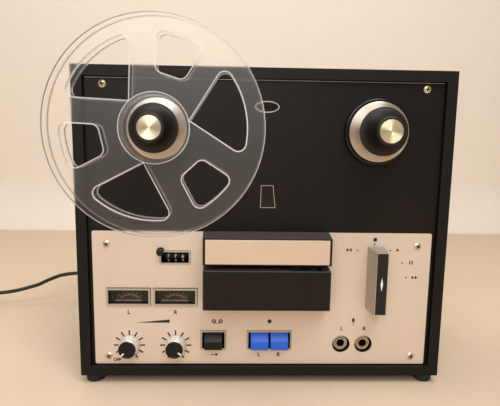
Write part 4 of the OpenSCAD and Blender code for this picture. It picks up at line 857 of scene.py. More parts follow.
@dataclass
class MainsLead:
    """The mains lead: out of its relief, down to the floor and into a tied coil, in millimetres."""

    diameter: float = 4.6
    length: float = 1800.0
    coil_from_relief: Flat = (-245.0, -35.0)
    coil_in: float = 20.5
    pitch: float = 5.8
    step: float = 5.4
    layers: int = 4
    layer_turns: float = 1.9375
    climb_turns: float = 0.5
    low: float = 3.3
    tail: float = 30.0
    plug_middle: float = 7.0
    tail_steps: int = 6
    turn_points: int = 36
    sides: int = 14
    blade_l: float = 16.5
    # Steps left and back from the relief, and the share of the drop to the coil that is still to go
    shape: tuple[tuple[float, float, float], ...] = (
        (0, 0, 1), (0, 6, 1), (2, 13, 1), (7, 19, 0.98), (15, 23, 0.96), (25, 25, 0.91), (37, 25, 0.87),
        (50, 24, 0.81), (64, 22, 0.74), (78, 20, 0.66), (92, 18, 0.57), (104, 17, 0.5), (116, 16, 0.46),
        (127, 15, 0.44), (137, 14, 0.4), (146, 13, 0.33), (155, 12, 0.25), (164, 10, 0.16), (174, 8, 0.1),
        (188, 5, 0.03), (202, 2, -0.01), (216, -1, -0.02), (228, -2.7, -0.01))

    def coil_point(self, t: float, middle: Vector) -> Vector:
        """Point of the coil, which winds in, out, in and out again while it goes down.

        Args:
            t: Turns from the coil's start.
            middle: Middle of the coil in row millimetres.

        Returns:
            The point in row millimetres.
        """
        span = self.layer_turns + self.climb_turns
        layer = math.floor(t / span)
        part = t - layer * span
        done = min(1.0, part / self.layer_turns)
        wide = self.coil_in + self.pitch * self.layer_turns
        r = wide - (wide - self.coil_in) * (done if layer % 2 == 0 else 1 - done)
        climb = max(0.0, (part - self.layer_turns) / self.climb_turns)
        z = self.low + self.step * (self.layers - 1 - layer - climb)
        a = math.radians(90 + 360 * t)
        return Vector((middle.x + r * math.cos(a), middle.y + r * math.sin(a), z))

    def path(self) -> list[Vector]:
        """The lead's way from its relief through the coil to the plug.

        Returns:
            Points in row millimetres.
        """
        low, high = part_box("strain_relief")
        leave = Vector(((low.x + high.x) / 2, high.y, (low.z + high.z) / 2)) / MM
        top = self.low + (self.layers - 1) * self.step
        middle = leave + Vector((*self.coil_from_relief, 0))
        wide = self.coil_in + self.pitch * self.layer_turns
        knots = [Vector((leave.x - left, leave.y + back, top + share * (leave.z - top)))
                 for left, back, share in self.shape]
        start = Vector((middle.x + self.diameter, middle.y + wide, top))
        turns = self.layers * (self.layer_turns + self.climb_turns) - self.climb_turns
        last = int(turns * self.turn_points)
        coil = [self.coil_point(i / self.turn_points, middle) for i in range(last)]
        end = Vector((middle.x - wide, middle.y, self.low))
        tail = []
        for i in range(1, self.tail_steps + 1):
            s = i / self.tail_steps
            rise = (self.plug_middle - self.low) * s * s * (3 - 2 * s)
            tail.append(end + Vector((0, -self.tail * s, rise)))
        plug = tail[-1] - Vector((0, self.diameter, 0))
        return [*eased([*knots, start], 4), *coil, end, *tail, plug]

    def build(self) -> None:
        """Make the lead as a tube, and dress its relief, tie and plug."""
        path = self.path()
        mesh = tube("mains_lead", path, self.diameter / 2, self.sides)
        mesh.materials.append(LEAD_JACKET.material())
        lead = bpy.data.objects.new("mains_lead", mesh)
        bpy.context.scene.collection.objects.link(lead)
        dress(lead, "cabinet", ("power_cord", "cord_coil"))
        Form("mains_relief", RUBBER).node("strain_relief").piece(
            "cabinet", "black_rubber", ("strain_relief",), 40)
        paint(CAP_PLASTIC, "cord_tie")
        plug = self.plug()
        run = sum((b - a).length for a, b in zip(path, path[1:]))
        LOG.info("lead: %.0f mm along its middle", run)

    def plug(self) -> bpy.types.Object:
        """Make the moulded plug with pressed brass blades.

        Returns:
            The plug's object.
        """
        form = Form("mains_plug", CAP_PLASTIC, BRASS).node("power_plug")
        reach = DECK.box("power_plug")[1].z - self.blade_l
        for face in form.mesh.faces:
            face.material_index = int(face.calc_center_median().z > reach)
        return form.piece("cabinet", "black_plastic", ("power_plug",), 40, bevel=0.5)


def eased(knots: Sequence[Vector], parts: int) -> list[Vector]:
    """A smooth line through points.

    Args:
        knots: Points to pass through.
        parts: Steps between two of them.

    Returns:
        Points of a Catmull-Rom spline.
    """
    ends = [2 * knots[0] - knots[1], *knots, 2 * knots[-1] - knots[-2]]
    found = []
    for a, b, c, d in zip(ends, ends[1:], ends[2:], ends[3:]):
        for i in range(parts):
            t = i / parts
            found.append(0.5 * (2 * b + (c - a) * t + (2 * a - 5 * b + 4 * c - d) * t * t
                                + (3 * b - a - 3 * c + d) * t ** 3))
    return [*found, knots[-1]]


def tube(name: str, path: Sequence[Vector], r: float, sides: int) -> bpy.types.Mesh:
    """A closed round tube along a path.

    Args:
        name: Name of the mesh.
        path: Points in row millimetres.
        r: Radius in millimetres.
        sides: Corners of the round.

    Returns:
        The mesh, in metres.
    """
    form = bmesh.new()
    turns = [math.tau * k / sides for k in range(sides)]
    side = Vector((0, 0, 1))
    rings = []
    for i, p in enumerate(path):
        ahead = (path[min(i + 1, len(path) - 1)] - path[max(i - 1, 0)]).normalized()
        side = (side - ahead * side.dot(ahead)).normalized()
        over = ahead.cross(side)
        rings.append([form.verts.new((p + r * (side * math.cos(a) + over * math.sin(a))) * MM)
                      for a in turns])
    for low, high in zip(rings, rings[1:]):
        for k in range(sides):
            n = (k + 1) % sides
            form.faces.new((low[k], low[n], high[n], high[k]))
    for end in (rings[0], rings[-1]):
        form.faces.new(end)
    bmesh.ops.recalc_face_normals(form, faces=form.faces)
    mesh = bpy.data.meshes.new(name)
    form.to_mesh(mesh)
    form.free()
    mesh.shade_smooth()
    mesh.set_sharp_from_angle(angle=math.radians(50))
    return mesh


@dataclass
class Cabinet:
    """Vinyl covered box, its back, feet and screws, in millimetres."""

    edge: float = 1.4
    foot_h: float = 8.0
    foot_r: float = 8.0
    foot_round: float = 2.5
    foot_hollow: Flat = (3.0, 2.0)
    head_r: float = 3.2
    head_h: float = 1.8
    head_edge: float = 0.6
    shank_r: float = 1.6
    shank_l: float = 3.0
    slot_w: float = 1.3
    slot_l: float = 4.0
    slot_depth: float = 1.3
    # How far below the head's top the painted recess shade ends
    grease_top: float = 0.5
    play: float = 0.02
    jack_r: float = 4.15
    jack_flange_r: float = 5.65
    jack_flange_t: float = 1.5
    jack_l: float = 8.0
    jack_wall: float = 1.0
    core_r: float = 1.6
    core_sunk: float = 0.5

    def build(self) -> None:
        """Make the box, back, feet, screws and line jacks."""
        Form("cabinet_covering", VINYL, RUBBED_VINYL).node("cabinet_box").piece(
            "cabinet", "black_vinyl_board", ("cabinet_box",), bevel=self.edge, worn=True)
        paint(HARDBOARD, "back_panel")
        self.feet()
        self.screws()
        self.line_jacks()

    def feet(self) -> None:
        """Four rubber feet with rounded edges and a hollow for their screw."""
        foot = Form("foot", RUBBER)
        low_z = -self.foot_h
        rounded = arc((self.foot_r - self.foot_round, self.foot_round + low_z), self.foot_round, -90, 0, 6)
        hollow_r, hollow_h = self.foot_hollow
        foot.lathe([(0, low_z + hollow_h), (hollow_r - 0.3, low_z + hollow_h), (hollow_r, low_z), *rounded,
                    (self.foot_r, 0), (0, 0)], steps=40)
        for vert in foot.mesh.verts:
            vert.co = (vert.co.x, vert.co.z, -vert.co.y)
        low, high = DECK.box("feet")
        inset = self.foot_r
        places = [(x, 0, z, 0) for x in (low.x + inset, high.x - inset)
                  for z in (low.z + inset, high.z - inset)]
        Scatter.piece("rubber_feet", foot, places, "cabinet", "black_rubber", ("feet",))

    def screw(self, out: int) -> Form:
        """A pan head screw.

        Args:
            out: 1 if it faces out of the deck, -1 if it faces back.

        Returns:
            The screw, with its seat at the origin.
        """
        form = Form("screw", SCREW_PLATE)
        rise = self.head_h - self.head_edge
        ball = (self.head_r ** 2 + rise ** 2) / (2 * rise)
        dome = []
        for i in range(6):
            x = self.head_r * math.cos(math.pi / 2 * i / 6)
            dome.append((x, self.head_h + math.sqrt(ball ** 2 - x ** 2) - ball))
        shank = [(self.shank_r, -self.shank_l), (self.shank_r, 0)]
        form.lathe([(0, -self.shank_l), *shank, (self.head_r, 0), *dome, (0, self.head_h)], steps=32)
        bmesh.ops.recalc_face_normals(form.mesh, faces=form.mesh.faces)
        self.cross_recess(form)
        for vert in form.mesh.verts:
            vert.co.z *= out
        return form

    def cross(self, play: float = 0.0) -> list[Flat]:
        """Outline of the cross in a screw head.

        Args:
            play: Space left all round.

        Returns:
            Its twelve corners, counterclockwise.
        """
        w, reach = self.slot_w / 2 - play, self.slot_l / 2 - play
        arm = [(-w, -reach), (w, -reach), (w, -w)]
        return [*arm, *((-y, x) for x, y in arm), *((-x, -y) for x, y in arm), *((y, -x) for x, y in arm)]

    def cross_recess(self, form: Form) -> None:
        """Sink the cross into a screw head.

        Args:
            form: The screw, which faces out.
        """
        head = bpy.data.objects.new("head", bpy.data.meshes.new("head"))
        form.mesh.to_mesh(head.data)
        cutter = Form("cutter")
        cutter.prism(self.cross(), self.head_h - self.slot_depth, self.head_h + 1)
        tool = bpy.data.objects.new("cutter", cutter.plain())
        for made in (head, tool):
            bpy.context.scene.collection.objects.link(made)
        cut = head.modifiers.new("cross", "BOOLEAN")
        cut.operation = "DIFFERENCE"
        cut.object = tool
        settle(head)
        form.mesh.clear()
        form.take(head.data)
        bpy.data.objects.remove(tool)

    def screws(self) -> None:
        """Brassy screws on the deck, on the panel and on the back."""
        solids = islands(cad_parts["case_screws"].data)
        front = []
        rear = []
        for low, high in solids:
            middle = (low + high) / 2
            if high.z > -10:
                front.append((middle.x, middle.y, high.z - self.head_h, 0))
            else:
                rear.append((middle.x, middle.y, low.z + self.head_h, 0))
        Scatter.piece("front_screws", self.screw(1), front, "cabinet", "brassed_steel", ("case_screws",), 90,
                      4)
        # A dark fill in each cross is painted shade of the recess
        grease = Form("grease", RECESS_SHADE).prism(
            self.cross(self.play), self.head_h - self.slot_depth + self.play, self.head_h - self.grease_top)
        Scatter.piece("screw_grease", grease, front, "cabinet", "black_rubber", (), 90, 4)
        Scatter.piece("back_screws", self.screw(-1), rear, "cabinet", "brassed_steel", (), 90, 9)

    def line_jacks(self) -> None:
        """Phono jacks on the back: a plated shell round a dark insulator."""
        low, high = DECK.box("line_jacks")
        r = self.jack_flange_r
        face = low.z + self.jack_l + self.jack_flange_t
        places = [(x, y, face, 0) for x in (low.x + r, high.x - r) for y in (low.y + r, high.y - r)]
        t = self.jack_flange_t
        end = t + self.jack_l
        inner = self.jack_r - self.jack_wall
        shell = Form("shell", NICKEL)
        shell.lathe([(inner, 0), (r, 0), (r, -t + 0.3), (r - 0.3, -t), (self.jack_r, -t),
                     (self.jack_r, -end + 0.4), (self.jack_r - 0.4, -end), (inner, -end)], steps=40,
                    ring=True)
        core = Form("core", GLOSS_PLASTIC)
        core_end = self.core_sunk - end
        core.lathe([(self.core_r, -t), (inner - 0.05, -t), (inner - 0.05, core_end),
                    (self.core_r + 0.3, core_end), (self.core_r, core_end + 0.4)], steps=32, ring=True)
        Scatter.piece("line_jack_shells", shell, places, "cabinet", "nickel_brass", ("line_jacks",))
        Scatter.piece("line_jack_cores", core, places, "cabinet", "gloss_black_plastic")


def islands(mesh: bpy.types.Mesh) -> list[tuple[Vector, Vector]]:
    """Boxes of the separate solids in a CAD node.

    Args:
        mesh: The node's mesh.

    Returns:
        Lowest and highest corner of each solid in deck millimetres, from left to right.
    """
    form = bmesh.new()
    form.from_mesh(mesh)
    form.transform(DECK.matrix().inverted())
    bmesh.ops.remove_doubles(form, verts=form.verts, dist=1e-3)
    left = set(form.verts)
    found = []
    while left:
        queue = [left.pop()]
        group = list(queue)
        while queue:
            for edge in queue.pop().link_edges:
                for vert in edge.verts:
                    if vert in left:
                        left.discard(vert)
                        queue.append(vert)
                        group.append(vert)
        points = [v.co for v in group]
        found.append((Vector(map(min, *points)), Vector(map(max, *points))))
    form.free()
    return sorted(found, key=lambda pair: tuple(pair[0]))


@dataclass
class ReelDrive:
    """Turntable, turned disc and reel cap of one side, in millimetres."""

    side: str
    body: str
    spindle: Vector
    gold_r: float = 9.3
    neck_r: float = 11.8
    shoulder: float = 1.8
    skirt: float = 1.6
    recess: float = 0.8
    lip: float = 1.6
    bevel: float = 0.8
    ring_r: float = 3.0

    def build(self) -> None:
        """Make the turntable, the disc, the cap and its bright disc."""
        at = self.spindle
        low, high = DECK.box(f"{self.side}_turntable")
        r = (high.x - low.x) / 2
        lip = self.lip
        disc_low, disc_high = DECK.box(f"{self.side}_disc")
        disc_r = (disc_high.x - disc_low.x) / 2
        rim = [(r - lip, low.z), *arc((r - lip, low.z + lip), lip, -90, 0, 5),
               *arc((r - lip, high.z - lip - lip), lip, 0, 90, 5)]
        seat = [(disc_r + 0.2, high.z - lip), (disc_r - 0.6, high.z)]
        Form(f"{self.side}_platter", GLOSS_PLASTIC).lathe(
            [(0, low.z), *rim, *seat, (0, high.z)], at, 96).piece(
            self.body, "gloss_black_plastic", (f"{self.side}_turntable",))
        silver = turned(f"turned aluminium of the {self.side} disc", at, "#d4c2b2", "#f3e4d6")
        bevel = self.bevel
        edge = [(disc_r - bevel, disc_low.z), *arc((disc_r - bevel, disc_low.z + bevel), bevel, -90, 0, 3),
                *arc((disc_r - bevel, disc_high.z - bevel), bevel, 0, 90, 4)]
        Form(f"{self.side}_bright_disc", silver).lathe(
            [(0, disc_low.z), *edge, (0, disc_high.z)], at, 96).piece(
            self.body, "silver_aluminium", (f"{self.side}_disc",))
        self.cap(at)
        paint(GROUND_STEEL, f"{self.side}_spindle")

    def cap(self, at: Vector) -> None:
        """Make the cap with its waist, rounded shoulder and gold coloured disc.

        Args:
            at: Deck point of the spindle.
        """
        low, high = DECK.box(f"{self.side}_cap")
        r = (high.x - low.x) / 2
        neck, skirt, shoulder = self.neck_r, self.skirt, self.shoulder
        turn_in = high.z - shoulder
        waist = [(r - (r - neck) * math.sin(a), low.z + skirt + (turn_in - low.z - skirt) * (1 - math.cos(a)))
                 for a in (math.pi / 2 * i / 16 for i in range(17))]
        dome = [(neck - shoulder * (1 - math.cos(a)), turn_in + shoulder * math.sin(a))
                for a in (math.pi / 2 * i / 10 for i in range(1, 11))]
        floor = high.z - self.recess
        inner = self.gold_r + 0.1
        Form(f"{self.side}_cap_moulding", CAP_PLASTIC).lathe(
            [(0, low.z), (r - 0.4, low.z), (r, low.z + 0.4), *waist, *dome, (inner, high.z - 0.1),
             (inner, floor), (0, floor)], at, 96).piece(self.body, "black_plastic", (f"{self.side}_cap",), 45)
        gold = turned(f"spun gilt disc of the {self.side} cap", at, "#e6d6a6", "#fffae2")
        g = self.gold_r
        top = high.z - 0.25
        groove = [(self.ring_r, top), (self.ring_r - 0.3, top - 0.25), (self.ring_r - 0.6, top)]
        Form(f"{self.side}_cap_disc", gold).lathe(
            [(0, floor + 0.05), (g, floor + 0.05), (g, top - 0.2), (g - 0.2, top), *groove, (0, top)], at,
            80).piece(self.body, "silver_aluminium")


@dataclass
class Reel:
    """Clear seven inch reel with three large and three small windows, in millimetres."""

    body: str
    middle: Vector
    window_r: float = 74.0
    corner: float = 6.0
    small_in: float = 43.5
    small_half: float = 15.0
    large_half: float = 45.0
    first_at: float = 12.5
    bore_r: float = 4.2
    hub_r: float = 28.6
    hub_wall: float = 2.5
    lip_w: float = 0.9
    lip_h: float = 0.5
    edge_w: float = 0.6
    bead: float = 0.4
    flange_t: float = 1.6
    gap: float = 0.03

    def large_window(self, apex: float) -> list[Flat]:
        """Outline with a corner at the hub, straight sides and an arc near the rim.

        Args:
            apex: How far the corner lies from the reel's middle.

        Returns:
            The outline of a window to the right of the middle.
        """
        half = math.radians(self.large_half)
        reach = self.window_r - self.corner
        base = apex + self.corner / math.sin(half)
        along = -base * math.cos(half) + math.sqrt(reach ** 2 - (base * math.sin(half)) ** 2)
        x, y = base + along * math.cos(half), along * math.sin(half)
        lean = math.degrees(math.atan2(y, x))
        side = 90 + self.large_half
        return distinct([(apex, 0.0), *arc((x, -y), self.corner, -side, -lean, 10),
                         *arc((0, 0), self.window_r, -lean, lean, 36),
                         *arc((x, y), self.corner, lean, side, 10)])

    def small_window(self) -> list[Flat]:
        """Outline with radial sides, a flat inner end and an arc near the rim.

        Returns:
            The outline of a window to the right of the middle.
        """
        reach = self.window_r - self.corner
        inner = self.small_in + self.corner
        outer_a = math.radians(self.small_half) - math.asin(self.corner / reach)
        inner_a = math.radians(self.small_half) - math.asin(self.corner / inner)
        far = (reach * math.cos(outer_a), reach * math.sin(outer_a))
        near = (inner * math.cos(inner_a), inner * math.sin(inner_a))
        side = 90 + self.small_half
        lean = math.degrees(outer_a)
        return distinct([*arc((near[0], -near[1]), self.corner, -180, -side, 8),
                         *arc((far[0], -far[1]), self.corner, -side, -lean, 10),
                         *arc((0, 0), self.window_r, -lean, lean, 8), *arc(far, self.corner, lean, side, 10),
                         *arc(near, self.corner, side, 180, 8)])

    def windows(self) -> list[list[Flat]]:
        """All six windows, three of each kind.

        Returns:
            Their outlines in deck millimetres.
        """
        found = []
        for i in range(3):
            for shape, turn in ((self.large_window(self.hub_r + 0.6), 0), (self.small_window(), 60)):
                a = math.radians(self.first_at + 120 * i + turn)
                found.append([(self.middle.x + x * math.cos(a) - y * math.sin(a),
                               self.middle.y + x * math.sin(a) + y * math.cos(a)) for x, y in shape])
        return found

    def build(self) -> None:
        """Make both moulded halves and their thick bright edges."""
        rear_low, rear_high = DECK.box("reel_rear_half")
        front_high = DECK.box("reel_front_half")[1]
        r = (rear_high.x - rear_low.x) / 2
        rear_z = rear_low.z + self.bead
        front_z = front_high.z - 2 * self.bead - self.flange_t
        split = (rear_z + front_z + self.flange_t) / 2
        for name, z, hub, node in (("rear", rear_z, (rear_z + self.flange_t, split), "reel_rear_half"),
                                   ("front", front_z, (split, front_z), "reel_front_half")):
            self.flange(name, z, hub, node, r)

    def flange(self, name: str, z: float, hub: Flat, node: str, r: float) -> None:
        """Make one flange with its half of the hub, its rim bead and its window lips.

        Args:
            name: Rear or front.
            z: Height of the flange's rear face.
            hub: Lower and upper height of the hub's wall.
            node: CAD node that it stands for.
            r: Radius of the reel.
        """
        at = self.middle
        hub_r = self.hub_r
        hub_in = hub_r - self.hub_wall
        top = z + self.flange_t
        windows = self.windows()
        bore = list(reversed(arc(at, self.bore_r, 0, 355, 71)))
        outer = r - self.edge_w
        low, high = z - self.bead, top + self.bead
        sheet = Form(f"reel_{name}_flange", CLEAR_REEL)
        holes = [list(reversed(grown(w, self.lip_w + self.gap))) for w in windows]
        sheet.prism(arc(at, outer - self.gap, 0, 358, 179), z, top, [bore, *holes])
        hub_low, hub_high = hub[0] + self.gap, hub[1] - self.gap
        sheet.lathe([(hub_in, hub_low), (hub_r, hub_low), (hub_r, hub_high), (hub_in, hub_high)], at, 96,
                    ring=True)
        # The thick edges are painted whitish, a highlight for the light trapped in them
        edges = Form(f"reel_{name}_edges", CLEAR_LIP if name == "front" else FAINT_LIP)
        edges.lathe([(outer, low), *arc((outer, low + self.edge_w), self.edge_w, -80, 0, 3),
                     *arc((outer, high - self.edge_w), self.edge_w, 0, 80, 3), (outer, high)], at, 180,
                    ring=True)
        for window in windows:
            edges.prism(grown(window, self.lip_w), z - self.lip_h / 2, top + self.lip_h,
                        [list(reversed(window))])
        if name == "front":
            ring_in, ring_low, ring_high = hub_r - self.edge_w, top + self.gap, high + self.bead
            edges.lathe([(ring_in, ring_low), (hub_r, ring_low), (hub_r, ring_high), (ring_in, ring_high)],
                        at, 96, ring=True)
        for made in (sheet.piece(self.body, "clear_polystyrene", (node,)),
                     edges.piece(self.body, "clear_polystyrene", smooth=40, bevel=0.25)):
            see_through(made)


@dataclass
class HeadCovers:
    """Upper cover with its bright face sheet and the lower cover, in millimetres."""

    upper_edge: float = 0.6
    lower_edge: float = 1.2
    sheet_edge: float = 0.35

    def build(self) -> None:
        """Make both covers and the face sheet, and dress what they hide."""
        for name, edge in (("upper", self.upper_edge), ("lower", self.lower_edge)):
            node = f"{name}_head_cover"
            cover = Form(f"{name}_cover_moulding", COVER_PLASTIC, PAINTED_TOP_LIGHT_PLASTIC, WORN_HIGHLIGHT_PLASTIC).node(node)
            # Faces that look up take the lighter top finish: painted light from above
            for face in cover.mesh.faces:
                face.material_index = int(face.normal.y > 0.9)
            # Only the lower cover's rounded edges take the lighter edge finish: wear together with a painted
            # highlight
            cover.piece("cabinet", "black_plastic", (node,), bevel=edge, worn=name == "lower")
        Form("head_cover_sheet", FACE_SHEET, TRIM).node("cover_faceplate").piece(
            "cabinet", "champagne_aluminium", ("cover_faceplate",), bevel=self.sheet_edge, worn=True)
        paint(ZINC, "head_bracket", "pinch_arm")
        paint(GLOSS_PLASTIC, "erase_head")
        paint(GROUND_STEEL, "record_play_head", "tape_guides", "capstan_flywheel")
        paint(RUBBER, "pinch_roller")


@dataclass
class Meters:
    """Two level meters with scale, needle and bright frame, in millimetres."""

    wrap: float = 0.1
    trim_w: float = 1.7
    trim_z: Flat = (1.25, 2.55)
    floor: float = -8.0
    card: float = -6.0
    mask: Flat = (-3.8, -3.2)
    dial: Flat = (24.6, 9.8)
    dial_shift: Flat = (-1.4, -1.6)
    band_h: float = 1.7
    band_up: float = 0.8
    rim: float = 1.6
    drop: float = 13.0
    scale_r: float = 13.4
    sweep: float = 80.0
    mark: Flat = (0.4, 1.4)
    figure_h: float = 2.0
    figure_out: float = 1.9
    line_in: Flat = (0.7, 1.1)
    red_in: Flat = (1.2, 2.8)
    film: float = 0.05

    def build(self) -> None:
        """Make frames, masks, cards, scales and windows of both meters."""
        paint(GLOSS_PLASTIC, "meter_cases")
        paint(RED_NEEDLE, "left_meter_needle", "right_meter_needle")
        lenses = Form("meter_windows", CLEAR_LENS).node("meter_lenses").piece(
            "cabinet", "clear_lens", ("meter_lenses",), bevel=0.15)
        see_through(lenses)
        boxes = islands(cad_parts["meter_lenses"].data)
        lens_w, lens_h = (boxes[0][1] - boxes[0][0])[:2]
        middles = [((low.x + high.x) / 2, (low.y + high.y) / 2) for low, high in boxes]
        trim = Form("meter_trims", TRIM)
        cards = Form("meter_cards", DIAL_CARD)
        masks = Form("meter_masks", BLACK_INK)
        bands = Form("meter_bands", BEIGE_INK)
        case_w, case_h = self.case()
        for at in middles:
            w, h = case_w + 2 * self.wrap, case_h + 2 * self.wrap
            hole = rectangle(w - 2 * self.trim_w, h - 2 * self.trim_w, at, 0.3)
            trim.prism(rectangle(w, h, at, 0.7), *self.trim_z, [list(reversed(hole))])
            cards.prism(rectangle(lens_w - 0.4, lens_h - 0.4, at), self.floor + 0.01, self.card)
            dial_at = (at[0] + self.dial_shift[0], at[1] + self.dial_shift[1])
            masks.prism(rectangle(lens_w - 0.2, lens_h - 0.2, at), *self.mask,
                        [list(reversed(rectangle(*self.dial, dial_at, 0.4)))])
            band_at = (dial_at[0], dial_at[1] - self.dial[1] / 2 + self.band_up)
            bands.prism(rectangle(self.dial[0], self.band_h, band_at), self.card, self.card + self.film)
        trim.piece("cabinet", "silver_trim_plastic", bevel=0.2)
        cards.piece("cabinet", "gloss_black_plastic")
        masks.piece("cabinet", "black_plastic", bevel=0.2)
        bands.piece("cabinet", "silver_trim_plastic")
        self.scales(middles)

    def case(self) -> Flat:
        """Size of one meter's frame, from its lens and the width of both cases.

        Returns:
            Width and height.
        """
        low, high = DECK.box("meter_cases")
        lenses = islands(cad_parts["meter_lenses"].data)
        size = lenses[0][1] - lenses[0][0]
        return min(size.x + 2 * self.rim, (high.x - low.x) / 2), size.y + 2 * self.rim

    def scales(self, middles: Sequence[Flat]) -> None:
        """Print both scales: ticks and figures from 0 to 10, an arc and its red end.

        Args:
            middles: Middle of each meter's lens.
        """
        marks = Form("meter_figures", FADED_INK)
        zone = Form("meter_red_zones", RED_INK)
        ticks = []
        for at in middles:
            pivot = (at[0], at[1] - self.drop)
            half = self.sweep / 2
            for i in range(11):
                lean = math.radians(self.sweep * (i / 10 - 0.5))
                sin, cos = math.sin(lean), math.cos(lean)
                ticks.append((pivot[0] + self.scale_r * sin, pivot[1] + self.scale_r * cos, self.card,
                              -math.degrees(lean)))
                if i % 2 == 0:
                    r = self.scale_r + self.figure_out
                    marks.words(str(i), self.figure_h, (pivot[0] + r * sin, pivot[1] + r * cos), self.card,
                                self.card + self.film)
            line = [*arc(pivot, self.scale_r - self.line_in[0], 90 - half, 90 + half, 24),
                    *arc(pivot, self.scale_r - self.line_in[1], 90 + half, 90 - half, 24)]
            marks.prism(line, self.card, self.card + self.film)
            red = [*arc(pivot, self.scale_r - self.red_in[0], 90 - half, 90 - half / 4, 10),
                   *arc(pivot, self.scale_r - self.red_in[1], 90 - half / 4, 90 - half, 10)]
            zone.prism(red, self.card, self.card + self.film)
        marks.piece("cabinet", "silver_trim_plastic")
        zone.piece("cabinet", "red_lacquer")
        tick = Form("tick", FADED_INK).prism(rectangle(*self.mark), 0, self.film)
        Scatter.piece("meter_ticks", tick, ticks, "cabinet", "silver_trim_plastic")


@dataclass
class Counter:
    """Tape counter with three number drums and a reset button, in millimetres."""

    width: float = 26.6
    height: float = 11.9
    wrap: float = 0.1
    trim_w: float = 1.3
    trim_z: Flat = (1.25, 1.9)
    digit_h: float = 3.4
    bold: float = 0.14
    stem_r: float = 1.5
    button_h: float = 2.1
    button_edge: float = 0.7
    reading: str = "776"

    def build(self) -> None:
        """Make frame, drums and button."""
        paint(GLOSS_PLASTIC, "counter_housing")
        at = DECK.middle("counter_tens")
        w, h = self.width + 2 * self.wrap, self.height + 2 * self.wrap
        outer = rectangle(w, h, at, 0.6)
        hole = rectangle(w - 2 * self.trim_w, h - 2 * self.trim_w, at, 0.3)
        Form("counter_trim", TRIM).prism(outer, *self.trim_z, [list(reversed(hole))]).piece(
            "cabinet", "silver_trim_plastic")
        for name, shown in zip(("hundreds", "tens", "units"), self.reading):
            self.drum(name, int(shown))
        low, high = DECK.box("counter_reset")
        knob = DECK.middle("counter_reset")
        r = (high.x - low.x) / 2
        stem, edge, under = self.stem_r, self.button_edge, high.z - self.button_h
        head = [(r, under), (r, high.z - edge), *arc((r - edge, high.z - edge), edge, 0, 90, 4)]
        Form("reset_button", GLOSS_PLASTIC).lathe(
            [(0, low.z), (stem, low.z), (stem, under), *head, (r * 0.6, high.z), (0, high.z - 0.35)], knob,
            48).piece("reset_button", "gloss_black_plastic", ("counter_reset",))

    def drum(self, name: str, shown: int) -> None:
        """Make one number drum with the figures 0 to 9 round it.

        Args:
            name: Hundreds, tens or units.
            shown: The figure in front.
        """
        node = f"counter_{name}"
        Form(f"{name}_drum_body", COVER_PLASTIC).node(node).piece(
            f"{name}_drum", "black_plastic", (node,), 40)
        low, high = DECK.box(node)
        middle = DECK.middle(node)
        r = (high.y - low.y) / 2
        figures = Form(f"{name}_figures", WHITE_INK)
        for digit in range(10):
            known = len(figures.mesh.verts)
            figures.words(str(digit), self.digit_h, (0, 0), r - 0.02, r + 0.03, self.bold)
            figures.mesh.verts.ensure_lookup_table()
            # Long straight edges are cut up, so that they bend with the drum
            fresh = {edge for vert in figures.mesh.verts[known:] for edge in vert.link_edges}
            bmesh.ops.subdivide_edges(figures.mesh, edges=[e for e in fresh if e.calc_length() > 0.6], cuts=4)
            figures.mesh.verts.ensure_lookup_table()
            for vert in figures.mesh.verts[known:]:
                x, y, out = vert.co
                turn = math.radians(36 * (digit - shown)) + y / r
                vert.co = (middle.x + x, middle.y + out * math.sin(turn), middle.z + out * math.cos(turn))
        figures.piece(f"{name}_drum", "silver_trim_plastic")


@dataclass
class VolumeKnob:
    """A volume knob with a pale skirt, a black face and a white pointer, in millimetres."""

    side: str
    pointer_at: float
    face_r: float = 7.6
    face_t: float = 1.4
    gap: float = 1.7
    shaft_r: float = 3.0
    pointer_w: float = 1.3
    pointer_l: float = 3.6

    def build(self) -> None:
        """Make skirt, face and pointer."""
        node = f"{self.side}_volume_knob"
        body = f"{self.side}_knob"
        low, high = DECK.box(node)
        at = DECK.middle(node)
        r = (high.x - low.x) / 2
        gap, face_r = self.gap, self.face_r
        skirt_z = high.z - self.face_t
        shaft = [(self.shaft_r, low.z), (self.shaft_r, gap)]
        flare = [(r - 0.3, gap), (r, gap + 0.3), (r, gap + 1.0), (face_r + 0.6, skirt_z - 0.3)]
        Form(f"{self.side}_knob_skirt", KNOB_SKIRT).lathe(
            [(0, low.z), *shaft, *flare, (face_r + 0.3, skirt_z), (0, skirt_z)], at, 72).piece(
            body, "silver_aluminium", (node,), 25)
        rim_z, dish_z, base_z = high.z - 0.05, high.z - 0.25, skirt_z + 0.02
        Form(f"{self.side}_knob_face", BLACK_KEY).lathe(
            [(0, base_z), (face_r, base_z), (face_r, high.z - 0.4), (face_r - 0.4, rim_z),
             (face_r - 1.2, rim_z), (face_r - 1.5, dish_z), (0, dish_z)], at, 72).piece(
            body, "black_plastic", (), 25)
        lean = math.radians(self.pointer_at)
        ahead = Vector((math.sin(lean), math.cos(lean)))
        side = Vector((ahead.y, -ahead.x)) * self.pointer_w / 2
        inner = Vector(at[:2]) + ahead * (face_r - self.pointer_l)
        outer = Vector(at[:2]) + ahead * (face_r - 0.1)
        corners = [inner - side, inner + side, outer + side, outer - side]
        outline = [tuple(c) for c in corners]
        Form(f"{self.side}_knob_pointer", WHITE_INK).prism(outline, high.z - 0.3, high.z).piece(
            body, "silver_trim_plastic")


